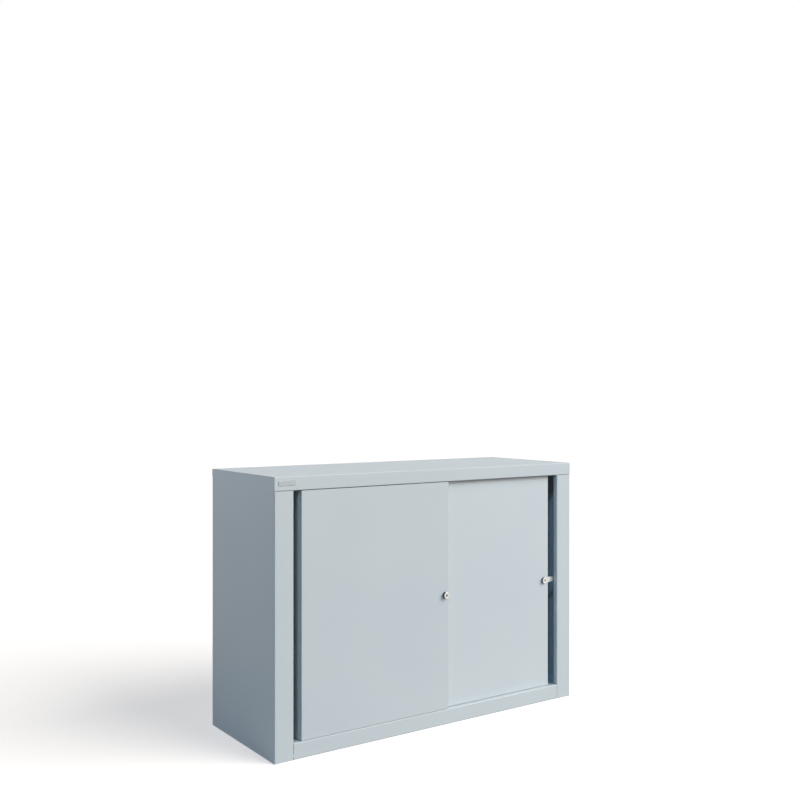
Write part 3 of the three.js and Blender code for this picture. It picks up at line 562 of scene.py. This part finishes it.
def turned(name, profile, centre, axis="Y"):
    """A round about an axis through centre: the profile is a closed loop of (radius, place on the axis)."""
    sides = 72
    shape = bmesh.new()
    rings = []
    for radius, along in profile:
        ring = []
        for side in range(sides if radius > 0 else 1):
            angle = 2 * math.pi * side / sides
            u, v = radius * math.cos(angle), radius * math.sin(angle)
            if axis == "Y":
                spot = (centre.x + u, along, centre.z + v)
            else:
                spot = (centre.x + u, centre.y + v, along)
            ring.append(shape.verts.new(spot))
        rings.append(ring)
    for first, second in zip(rings, rings[1:] + rings[:1]):
        for side in range(sides):
            ahead = (side + 1) % sides
            corners = [first[side % len(first)], first[ahead % len(first)],
                       second[ahead % len(second)], second[side % len(second)]]
            unique = list(dict.fromkeys(corners))
            if len(unique) > 2:
                shape.faces.new(unique)
    mesh = closed_mesh(name, shape)
    smooth(mesh)
    return mesh


def prism(name, outline, low, high):
    """An outline in X and Z as a solid from one depth to another."""
    shape = bmesh.new()
    front = [shape.verts.new((x, low, z)) for x, z in outline]
    back = [shape.verts.new((x, high, z)) for x, z in outline]
    shape.faces.new(front)
    shape.faces.new(back[::-1])
    for at in range(len(outline)):
        ahead = (at + 1) % len(outline)
        shape.faces.new((front[at], back[at], back[ahead], front[ahead]))
    return closed_mesh(name, shape)


def cut_away(piece, cutter_mesh):
    """Cuts a shape out of a piece for good."""
    cutter = put("cutter", cutter_mesh)
    modifier = piece.modifiers.new("Cut", "BOOLEAN")
    modifier.operation = "DIFFERENCE"
    modifier.solver = "EXACT"
    modifier.object = cutter
    result = piece.evaluated_get(bpy.context.evaluated_depsgraph_get())
    mesh = bpy.data.meshes.new_from_object(result)
    if not mesh.polygons:
        raise RuntimeError(f"nothing is left of {piece.name} after its cut")
    piece.modifiers.remove(modifier)
    piece.data = mesh
    bpy.data.objects.remove(cutter)


def middle(node):
    low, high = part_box(node)
    return (low + high) / 2


def radius_of(node):
    low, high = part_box(node)
    return (high.x - low.x) / 2


def turned_part(node, ending, profile, axis="Y"):
    """A round in the node's own finish, which replaces it."""
    mesh = turned(f"{node}_{ending}", profile, middle(node), axis)
    stand_for(link_piece(mesh.name, mesh, [finish_of(SLOT_OF[node])]), node)


# Locks
def cut_keyhole(piece, centre, face):
    """Cuts an upright rectangle with round corners into a plug's face."""
    locks = looks().locks
    right, up = locks.keyhole_width / 2, locks.keyhole_height / 2
    outline = rounded_profile([
        (centre.x + right, centre.z + up), (centre.x - right, centre.z + up),
        (centre.x - right, centre.z - up), (centre.x + right, centre.z - up)], locks.keyhole_corner)
    cut_away(piece, prism("keyhole", outline, face - OVERRUN, face + locks.keyhole_depth))
    smooth(piece.data)


def paint_keyhole_shade(piece, centre, face):
    """Gives the faces inside the keyhole a near-black finish: painted shade in the slot."""
    locks = looks().locks
    piece.data.materials.append(material_named("painted_keyhole_shade", painted_shade_metal, looks().metal.keyhole_shade))
    mouth = 0.1 * MM
    reach = math.hypot(locks.keyhole_width, locks.keyhole_height) / 2 + mouth
    facing_back = 0.5
    for part in piece.data.polygons:
        away = part.center - centre
        inside = math.hypot(away.x, away.z) < reach and part.center.y > face + mouth
        if inside and part.normal.y < facing_back:
            part.material_index = len(piece.data.materials) - 1


def lock_round(name, node, profile):
    """A turned lock part: bright nickel in front, and dark metal on its side as painted shade and dark
    reflection.
    """
    centre = middle(node)
    mesh = turned(name, profile, centre)
    bright = material_named(f"polished_nickel_{name}", polished_nickel, centre, 0.22, 0.36)
    dull = material_named("painted_barrel_side_shade", painted_shade_metal, looks().metal.barrel)
    piece = link_piece(name, mesh, [bright, dull])
    # Faces turned away from the front get the dark metal: painted shade and dark reflection, set by which
    # way each face looks.
    facing_front = -0.3
    for face in mesh.polygons:
        face.material_index = 0 if face.normal.y < facing_front else 1
    return stand_for(piece, node)


def plunger_profile():
    """The plunger: a cup for the plug in front, a shoulder, a pocket for the spring and the nose."""
    low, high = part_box("front_lock_plunger")
    radius = radius_of("front_lock_plunger")
    plug_gap = 0.2 * MM
    cup_radius = radius_of("front_lock_plug") + plug_gap
    cup_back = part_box("front_lock_plug")[1].y + plug_gap
    body_length = 11 * MM
    pocket_depth = 5 * MM
    pocket_wall = MM
    pocket_radius = radius - pocket_wall
    nose_radius = 4 * MM
    shoulder = low.y + body_length
    pocket_front = shoulder - pocket_depth
    return rounded_profile([
        (0, cup_back, 0), (cup_radius, cup_back, 0), (cup_radius, low.y), (radius, low.y),
        (radius, shoulder), (pocket_radius, shoulder), (pocket_radius, pocket_front, 0),
        (nose_radius, pocket_front, 0), (nose_radius, high.y), (0, high.y, 0)], looks().locks.rim)


def front_plug_profile():
    """The plug: a plain round with eased ends."""
    low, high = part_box("front_lock_plug")
    radius = radius_of("front_lock_plug")
    ease = 0.3 * MM
    return rounded_profile([(0, low.y, 0), (radius, low.y), (radius, high.y), (0, high.y, 0)], ease)


def front_lock():
    lock_round("push_lock_plunger", "front_lock_plunger", plunger_profile())
    plug = lock_round("push_lock_plug", "front_lock_plug", front_plug_profile())
    centre = middle("front_lock_plug")
    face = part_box("front_lock_plug")[0].y
    cut_keyhole(plug, centre, face)
    paint_keyhole_shade(plug, centre, face)
    finer_copy("front_lock_housing", looks().metal.edge)
    coil_spring("front_lock_spring")


def cylinder_profile():
    """The cylinder: a flange on the door's face, a neck through it and a groove for the clip."""
    low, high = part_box("rear_lock_cylinder")
    radius = radius_of("rear_lock_cylinder")
    door_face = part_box("rear_door_panel")[0].y
    plug_bore = 5.2 * MM
    neck = 7 * MM
    groove_depth = 0.6 * MM
    groove_width = 0.75 * MM
    seat_gap = 0.3 * MM
    clip_gap = 0.15 * MM
    groove = neck - groove_depth
    seat = door_face - seat_gap
    groove_front = door_face + SHEET + clip_gap
    groove_back = groove_front + groove_width
    return rounded_profile([
        (plug_bore, low.y), (radius, low.y), (radius, seat, 0), (neck, seat, 0),
        (neck, groove_front, 0), (groove, groove_front, 0), (groove, groove_back, 0),
        (neck, groove_back, 0), (neck, high.y, 0), (plug_bore, high.y, 0)], looks().locks.rim)


def rear_lock():
    edge = looks().metal.edge
    lock_round("key_lock_cylinder", "rear_lock_cylinder", cylinder_profile())
    centre = middle("rear_lock_cylinder")
    nickel = material_named("satin_nickel_cam", polished_nickel, centre, 0.42, 0.55)
    finer_copy("rear_lock_cam", edge, "plated", nickel)
    plug = whole_copy("rear_lock_plug", "plated", nickel)
    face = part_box("rear_lock_plug")[0].y
    cut_keyhole(plug, centre, face)
    paint_keyhole_shade(plug, centre, face)
    soften(plug, edge)
    stand_for(plug, "rear_lock_plug")
    finer_copy("rear_lock_clip", edge)
    finer_copy("rear_lock_cam_screw", edge)


# Geometry node trees
def new_tree(name, start, sizes, result):
    """An empty tree: its geometry goes in at start, its sizes are inputs, and result comes out."""
    tree = bpy.data.node_groups.new(name, "GeometryNodeTree")
    tree.interface.new_socket(start, in_out="INPUT", socket_type="NodeSocketGeometry")
    for size in sizes:
        kind = "NodeSocketInt" if size == "Sides" else "NodeSocketFloat"
        tree.interface.new_socket(size, in_out="INPUT", socket_type=kind)
    tree.interface.new_socket(result, in_out="OUTPUT", socket_type="NodeSocketGeometry")
    return tree, add_node(tree, "NodeGroupInput").outputs


def run_tree(name, tree, start, sizes):
    """Runs a tree on a mesh with the sizes given and returns a plain piece."""
    holder = put(name, start)
    modifier = holder.modifiers.new("Nodes", "NODES")
    modifier.node_group = tree
    for socket in tree.interface.items_tree:
        if socket.name in sizes:
            modifier[socket.identifier] = sizes[socket.name]
    mesh = bpy.data.meshes.new_from_object(holder.evaluated_get(bpy.context.evaluated_depsgraph_get()))
    if not mesh.polygons:
        raise RuntimeError(f"the tree of {name} made no faces")
    holder.modifiers.remove(modifier)
    mesh.name = name
    shape = bmesh.new()
    shape.from_mesh(mesh)
    bmesh.ops.remove_doubles(shape, verts=shape.verts, dist=ONE_POINT)
    bmesh.ops.recalc_face_normals(shape, faces=shape.faces)
    shape.to_mesh(mesh)
    shape.free()
    smooth(mesh)
    holder.data = mesh
    return holder


def spring_tree(sizes, place, material):
    """A coil of round wire that runs back from its place."""
    tree, given = new_tree("coil_spring", "Start", sizes, "Spring")
    coil = add_node(tree, "GeometryNodeCurveSpiral", {
        "Resolution": 40, "Rotations": given["Turns"], "Start Radius": given["Coil radius"],
        "End Radius": given["Coil radius"], "Height": given["Height"]})
    ring = add_node(tree, "GeometryNodeCurvePrimitiveCircle", {
        "Resolution": 12, "Radius": given["Wire radius"]})
    tube = add_node(tree, "GeometryNodeCurveToMesh", {
        "Curve": coil.outputs["Curve"], "Profile Curve": ring.outputs["Curve"], "Fill Caps": True})
    turn = add_node(tree, "GeometryNodeTransform", {
        "Geometry": tube.outputs["Mesh"], "Rotation": UP_TO_BACK, "Translation": place})
    solid = add_node(tree, "GeometryNodeRealizeInstances", {"Geometry": turn.outputs["Geometry"]})
    coat = add_node(tree, "GeometryNodeSetMaterial", {
        "Geometry": solid.outputs["Geometry"], "Material": material})
    add_node(tree, "NodeGroupOutput", {"Spring": coat.outputs["Geometry"]})
    return tree


def coil_spring(node):
    """The spring fills its CAD box."""
    low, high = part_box(node)
    centre = middle(node)
    wire = 0.4 * MM
    sizes = {
        "Wire radius": wire,
        "Coil radius": radius_of(node) - wire,
        "Height": high.y - low.y - 2 * wire,
        "Turns": 5.0,
    }
    tree = spring_tree(sizes, (centre.x, low.y + wire, centre.z), finish_of(SLOT_OF[node]))
    piece = run_tree("return_spring", tree, bpy.data.meshes.new("spring_start"), sizes)
    stand_for(piece, node)
    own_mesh(piece)


def heads_tree(name, sizes, material):
    """Round heads along the edges of a mesh, one pitch apart, that face +Y."""
    tree, given = new_tree(name, "Rows", sizes, "Heads")
    path = add_node(tree, "GeometryNodeMeshToCurve", {"Mesh": given["Rows"]})
    spots = add_node(tree, "GeometryNodeResampleCurve", {
        "Curve": path.outputs["Curve"], "Length": given["Pitch"]}, mode="LENGTH")
    head = add_node(tree, "GeometryNodeMeshCone", {
        "Vertices": given["Sides"], "Radius Bottom": given["Head radius"],
        "Radius Top": given["Crown radius"], "Depth": given["Head height"]})
    turn = add_node(tree, "GeometryNodeTransform", {
        "Geometry": head.outputs["Mesh"], "Rotation": UP_TO_BACK})
    copies = add_node(tree, "GeometryNodeInstanceOnPoints", {
        "Points": spots.outputs["Curve"], "Instance": turn.outputs["Geometry"]})
    solid = add_node(tree, "GeometryNodeRealizeInstances", {"Geometry": copies.outputs["Instances"]})
    coat = add_node(tree, "GeometryNodeSetMaterial", {
        "Geometry": solid.outputs["Geometry"], "Material": material})
    add_node(tree, "NodeGroupOutput", {"Heads": coat.outputs["Geometry"]})
    return tree


def rows_mesh(name, rows):
    """A mesh of loose edges: each row is its two ends."""
    mesh = bpy.data.meshes.new(name)
    points = [tuple(end) for row in rows for end in row]
    mesh.from_pydata(points, [(at, at + 1) for at in range(0, len(points), 2)], [])
    return mesh


def heads(name, body, slot, rows, pitch, radius, height):
    """Rows of heads on one body."""
    crown_share = 0.6
    sizes = {
        "Pitch": pitch,
        "Head radius": radius,
        "Crown radius": crown_share * radius,
        "Head height": height,
        "Sides": looks().fixings.head_sides,
    }
    tree = heads_tree(name, sizes, finish_of(slot))
    piece = run_tree(name, tree, rows_mesh(f"{name}_rows", rows), sizes)
    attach(piece, body)


def spot_welds(name, body, rows):
    """Rows of spot welds under the paint."""
    fixings = looks().fixings
    heads(name, body, "painted_steel", rows, fixings.weld_pitch, fixings.weld_radius, fixings.weld_height)


def weld_row(start, end):
    """The ends of a row of spot welds between two points: centred, with a whole number of pitches."""
    pitch = looks().fixings.weld_pitch
    length = (end - start).length
    count = max(1, math.floor(length / pitch))
    slack = (end - start).normalized() * (length - count * pitch) / 2
    return start + slack, end - slack


def door_fixings(door):
    """Spot welds on the stiffener's two flanges, and two rivets through each hanger."""
    fixings = looks().fixings
    edge_room = 12 * MM
    flange = 14 * MM
    low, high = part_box(f"{door}_door_stiffener")
    face = low.y + SHEET
    rows = [weld_row(Vector((x, face, low.z + edge_room)), Vector((x, face, high.z - edge_room)))
            for x in (low.x + flange / 2, high.x - flange / 2)]
    spot_welds(f"{door}_door_spot_welds", f"{door}_door", rows)
    rows = []
    for end in ENDS:
        low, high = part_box(f"{door}_{end}_hanger")
        between = Vector(((low.x + high.x) / 2, high.y, low.z + edge_room))
        reach = Vector((fixings.rivet_pitch / 2, 0, 0))
        rows.append((between - reach, between + reach))
    heads(f"{door}_hanger_rivets", f"{door}_door", "zinc_plated_steel", rows, fixings.rivet_pitch,
          fixings.rivet_radius, fixings.rivet_height)


def cabinet_fixings():
    """Spot welds through the back sheet into the liners and the floor panel."""
    edge_room = 30 * MM
    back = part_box("back_panel")[1].y
    rows = []
    for end in ENDS:
        low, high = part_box(f"{end}_liner")
        x = (low.x + high.x) / 2
        rows.append(weld_row(Vector((x, back, low.z + edge_room)), Vector((x, back, high.z - edge_room))))
    low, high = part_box("floor_panel")
    z = (low.z + high.z) / 2
    rows.append(weld_row(Vector((low.x + edge_room, back, z)), Vector((high.x - edge_room, back, z))))
    spot_welds("back_spot_welds", "cabinet", rows)


# Running gear, base and small parts
def roller(door, end):
    """A moulded wheel: a tread, a thinner web and a hub with the axle's recess."""
    node = f"{door}_{end}_roller"
    low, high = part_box(node)
    radius = radius_of(node)
    bore = 2.6 * MM
    recess = 4.3 * MM
    recess_back = low.y + 1.5 * MM
    hub = 5.4 * MM
    tread = 8.6 * MM
    dish = 0.7 * MM
    ease = 0.3 * MM
    turned_part(node, "wheel", rounded_profile([
        (recess, low.y), (hub, low.y), (hub, low.y + dish), (tread, low.y + dish), (tread, low.y),
        (radius, low.y), (radius, high.y), (tread, high.y), (tread, high.y - dish), (hub, high.y - dish),
        (hub, high.y), (bore, high.y), (bore, recess_back, 0), (recess, recess_back, 0)], ease))


def axle(door, end):
    """A stub axle with a crowned head, riveted over at the hanger."""
    node = f"{door}_{end}_axle"
    low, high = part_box(node)
    head = radius_of(node)
    shaft = 2.5 * MM
    thickness = 0.9 * MM
    crown = 0.4 * MM
    turned_part(node, "pin", rounded_profile([
        (0, low.y, 0), (head, low.y), (head, low.y + thickness), (shaft, low.y + thickness, 0),
        (shaft, high.y), (0, high.y, 0)], crown))


def glide(depth, end):
    """A moulded foot: a round-edged pad, a stem and a barb that snaps into the base channel."""
    node = f"glide_{depth}_{end}"
    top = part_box(node)[1].z
    radius = radius_of(node)
    pad_top = 4.7 * MM
    stem = 4 * MM
    barb_bottom = 6.3 * MM
    barb = 5.2 * MM
    tip = 2.8 * MM
    ease = 2 * looks().plastic.edge
    turned_part(node, "foot", rounded_profile([
        (0, 0, 0), (radius, 0), (radius, pad_top), (stem, pad_top, 0), (stem, barb_bottom, 0),
        (barb, barb_bottom), (tip, top), (0, top, 0)], ease), axis="Z")


def painted_sheet(node):
    """A folded sheet: the front door's lock hole is cut round, as a punch leaves it."""
    # The rear door gets the lighter copy of the coat, which is painted light.
    coat = rear_door_painted_light_coat() if node == "rear_door_panel" else None
    piece = whole_copy(node, "painted", coat)
    if node == "front_door_panel":
        clearance = 0.45 * MM
        hole = radius_of("front_lock_plunger") + clearance
        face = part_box(node)[0].y
        start, end = face - OVERRUN, face + SHEET + OVERRUN
        cut_away(piece, turned("lock_hole", [(0, start), (hole, start), (hole, end), (0, end)],
                               middle("front_lock_plunger")))
    soften(piece, looks().paint.edge)
    stand_for(piece, node)


# Stage
def make_camera():
    """A level camera at the photograph's viewing angle."""
    stage = looks().stage
    camera = put("camera", bpy.data.cameras.new("camera"))
    camera.location = stage.camera_place
    camera.rotation_euler = (math.pi / 2, 0, -stage.camera_heading)
    camera.data.lens = stage.lens
    camera.data.sensor_width = 36  # millimetres, as the lens is
    camera.data.clip_end = 2 * stage.floor_side
    bpy.context.scene.camera = camera


def new_lamp(name, kind, away, colour, energy):
    """A lamp that stands in the direction away and shines back along it."""
    lamp = put(name, bpy.data.lights.new(name, kind))
    lamp.data.color = colour
    lamp.data.energy = energy
    lamp.rotation_euler = away.to_track_quat("Z", "Y").to_euler()
    return lamp


def far_lamp(name, heading, height, width, colour, strength):
    """A lamp that is as far as the sun, by its heading and its height over the horizon."""
    level = math.cos(height)
    away = Vector((level * math.sin(heading), -level * math.cos(heading), math.sin(height)))
    lamp = new_lamp(name, "SUN", away, colour, strength)
    lamp.data.angle = width
    return lamp


def spare(lamp, floor):
    """The lamp lights everything but the floor, so that the cabinet has one shadow."""
    spared = bpy.data.collections.new(f"{lamp.name}_spares")
    spared.objects.link(floor)
    lamp.light_linking.receiver_collection = spared
    spared.collection_objects[0].light_linking.link_state = "EXCLUDE"


def make_lamps(floor):
    """A wide main lamp, a fill from the camera's side, one behind and one by the right-hand end."""
    stage = looks().stage
    far_lamp("key", stage.key_heading, stage.key_height, stage.key_width, stage.key, stage.key_strength)
    spare(far_lamp("fill", stage.fill_heading, stage.fill_height, stage.fill_width, stage.fill,
                   stage.fill_strength), floor)
    spare(far_lamp("back", stage.back_heading, stage.back_height, stage.back_width, stage.back,
                   stage.back_strength), floor)
    target = (cad_box[0] + cad_box[1]) / 2
    place = Vector(stage.wing_place)
    white = (1, 1, 1)
    wing = new_lamp("wing", "AREA", place - target, white, stage.wing_power)
    wing.location = place
    wing.data.shape = "SQUARE"
    wing.data.size = stage.wing_size


def seen_directly(tree):
    """1 where the ray is the camera's, or comes by a mirror or through glass, and otherwise 0."""
    path = add_node(tree, "ShaderNodeLightPath").outputs
    either = add_node(tree, "ShaderNodeMath", {
        0: path["Is Camera Ray"], 1: path["Is Glossy Ray"]}, operation="MAXIMUM")
    return add_node(tree, "ShaderNodeMath", {
        0: either.outputs["Value"], 1: path["Is Transmission Ray"]}, operation="MAXIMUM").outputs["Value"]


def make_world():
    """Soft light from all round, and a white background wherever it is seen."""
    stage = looks().stage
    world = bpy.data.worlds.new("studio")
    bpy.context.scene.world = world
    world.use_nodes = True
    tree = world.node_tree
    tree.nodes.clear()
    soft = add_node(tree, "ShaderNodeBackground", {
        "Color": opaque(stage.sky), "Strength": stage.sky_strength})
    white = add_node(tree, "ShaderNodeBackground", {"Color": (1, 1, 1, 1), "Strength": 1.0})
    mix = add_node(tree, "ShaderNodeMixShader", {
        "Fac": seen_directly(tree), 1: soft.outputs["Background"], 2: white.outputs["Background"]})
    add_node(tree, "ShaderNodeOutputWorld", {"Surface": mix.outputs["Shader"]})


def make_floor():
    """A plain pale floor that keeps the cabinet's shadow."""
    stage = looks().stage
    half = stage.floor_side / 2
    mesh = bpy.data.meshes.new("floor")
    corners = [(-half, -half, 0), (half, -half, 0), (half, half, 0), (-half, half, 0)]
    mesh.from_pydata(corners, [], [(0, 1, 2, 3)])
    material = bpy.data.materials.new("pale_floor")
    material.use_nodes = True
    tree = material.node_tree
    tree.nodes.clear()
    seen = seen_directly(tree)
    colour = add_node(tree, "ShaderNodeMixRGB", {
        "Fac": seen, "Color1": opaque(stage.bounce), "Color2": opaque(stage.floor)})
    matt = add_node(tree, "ShaderNodeBsdfDiffuse", {"Color": colour.outputs["Color"]})
    glow = add_node(tree, "ShaderNodeEmission", {"Color": opaque(stage.lift), "Strength": seen})
    both = add_node(tree, "ShaderNodeAddShader", {0: matt.outputs["BSDF"], 1: glow.outputs["Emission"]})
    add_node(tree, "ShaderNodeOutputMaterial", {"Surface": both.outputs["Shader"]})
    floor = link_piece("floor", mesh, [material])
    return floor


# Operators
class CABINET_OT_stage(bpy.types.Operator):
    """Set the camera, the lamps, the soft light and the floor"""

    bl_idname = "cabinet.stage"
    bl_label = "Stage"

    def execute(self, context):
        make_camera()
        make_lamps(make_floor())
        make_world()
        context.scene.view_settings.view_transform = "Standard"
        return {"FINISHED"}


class CABINET_OT_painted_sheets(bpy.types.Operator):
    """Finish the folded sheets: sides, top, back, rail, floor, liners, shelf, doors and stiffeners"""

    bl_idname = "cabinet.painted_sheets"
    bl_label = "Painted sheets"

    def execute(self, context):
        for node in PAINTED_SHEETS:
            painted_sheet(node)
        return {"FINISHED"}


class CABINET_OT_pressed_parts(bpy.types.Operator):
    """Finish the zinc-plated track, channels, hangers, clips and keeper"""

    bl_idname = "cabinet.pressed_parts"
    bl_label = "Pressed parts"

    def execute(self, context):
        for node in PRESSED_PARTS:
            finer_copy(node, looks().metal.edge, "plated")
        return {"FINISHED"}


class CABINET_OT_running_gear(bpy.types.Operator):
    """Make the rollers and their axles, and finish the stops, the guides and their screws"""

    bl_idname = "cabinet.running_gear"
    bl_label = "Running gear"

    def execute(self, context):
        for door in DOORS:
            for end in ENDS:
                roller(door, end)
                axle(door, end)
                finer_copy(f"{door}_track_{end}_stop", looks().plastic.edge, "moulded")
            finer_copy(f"{door}_door_guide", looks().plastic.edge, "moulded")
            finer_copy(f"{door}_guide_screw", looks().metal.edge)
        return {"FINISHED"}


class CABINET_OT_front_lock(bpy.types.Operator):
    """Make the push lock of the front door"""

    bl_idname = "cabinet.front_lock"
    bl_label = "Front lock"

    def execute(self, context):
        front_lock()
        return {"FINISHED"}


class CABINET_OT_rear_lock(bpy.types.Operator):
    """Make the key lock of the rear door with its cam"""

    bl_idname = "cabinet.rear_lock"
    bl_label = "Rear lock"

    def execute(self, context):
        rear_lock()
        return {"FINISHED"}


class CABINET_OT_glides(bpy.types.Operator):
    """Make the four moulded glides"""

    bl_idname = "cabinet.glides"
    bl_label = "Glides"

    def execute(self, context):
        for depth in DEPTHS:
            for end in ENDS:
                glide(depth, end)
        return {"FINISHED"}


class CABINET_OT_fixings(bpy.types.Operator):
    """Make the spot welds and the rivets"""

    bl_idname = "cabinet.fixings"
    bl_label = "Welds and rivets"

    def execute(self, context):
        cabinet_fixings()
        for door in DOORS:
            door_fixings(door)
        return {"FINISHED"}


class CABINET_OT_name_plate(bpy.types.Operator):
    """Finish the blank name plate"""

    bl_idname = "cabinet.name_plate"
    bl_label = "Name plate"

    def execute(self, context):
        finer_copy("name_plate", looks().metal.edge, "blank")
        return {"FINISHED"}


OPERATORS = (
    CABINET_OT_stage, CABINET_OT_painted_sheets, CABINET_OT_pressed_parts, CABINET_OT_running_gear,
    CABINET_OT_front_lock, CABINET_OT_rear_lock, CABINET_OT_glides, CABINET_OT_fixings,
    CABINET_OT_name_plate,
)


class CABINET_PT_looks(bpy.types.Panel):
    """Lists the operators of the cabinet's looks"""

    bl_label = "Cabinet"
    bl_idname = "CABINET_PT_looks"
    bl_space_type = "VIEW_3D"
    bl_region_type = "UI"
    bl_category = "Cabinet"

    def draw(self, context):
        for operator in OPERATORS:
            self.layout.operator(operator.bl_idname)


CLASSES = (
    CabinetPaint, CabinetMetal, CabinetPlastic, CabinetLocks, CabinetFixings, CabinetStage, CabinetLooks,
    *OPERATORS, CABINET_PT_looks,
)


def register():
    for cls in CLASSES:
        bpy.utils.register_class(cls)
    bpy.types.Scene.cabinet_looks = PointerProperty(type=CabinetLooks)


def unregister():
    del bpy.types.Scene.cabinet_looks
    for cls in reversed(CLASSES):
        bpy.utils.unregister_class(cls)


def main():
    register()
    bpy.ops.cabinet.stage()
    bpy.ops.cabinet.painted_sheets()
    bpy.ops.cabinet.pressed_parts()
    bpy.ops.cabinet.running_gear()
    bpy.ops.cabinet.front_lock()
    bpy.ops.cabinet.rear_lock()
    bpy.ops.cabinet.glides()
    bpy.ops.cabinet.fixings()
    bpy.ops.cabinet.name_plate()


if __name__ == "__main__":
    main()
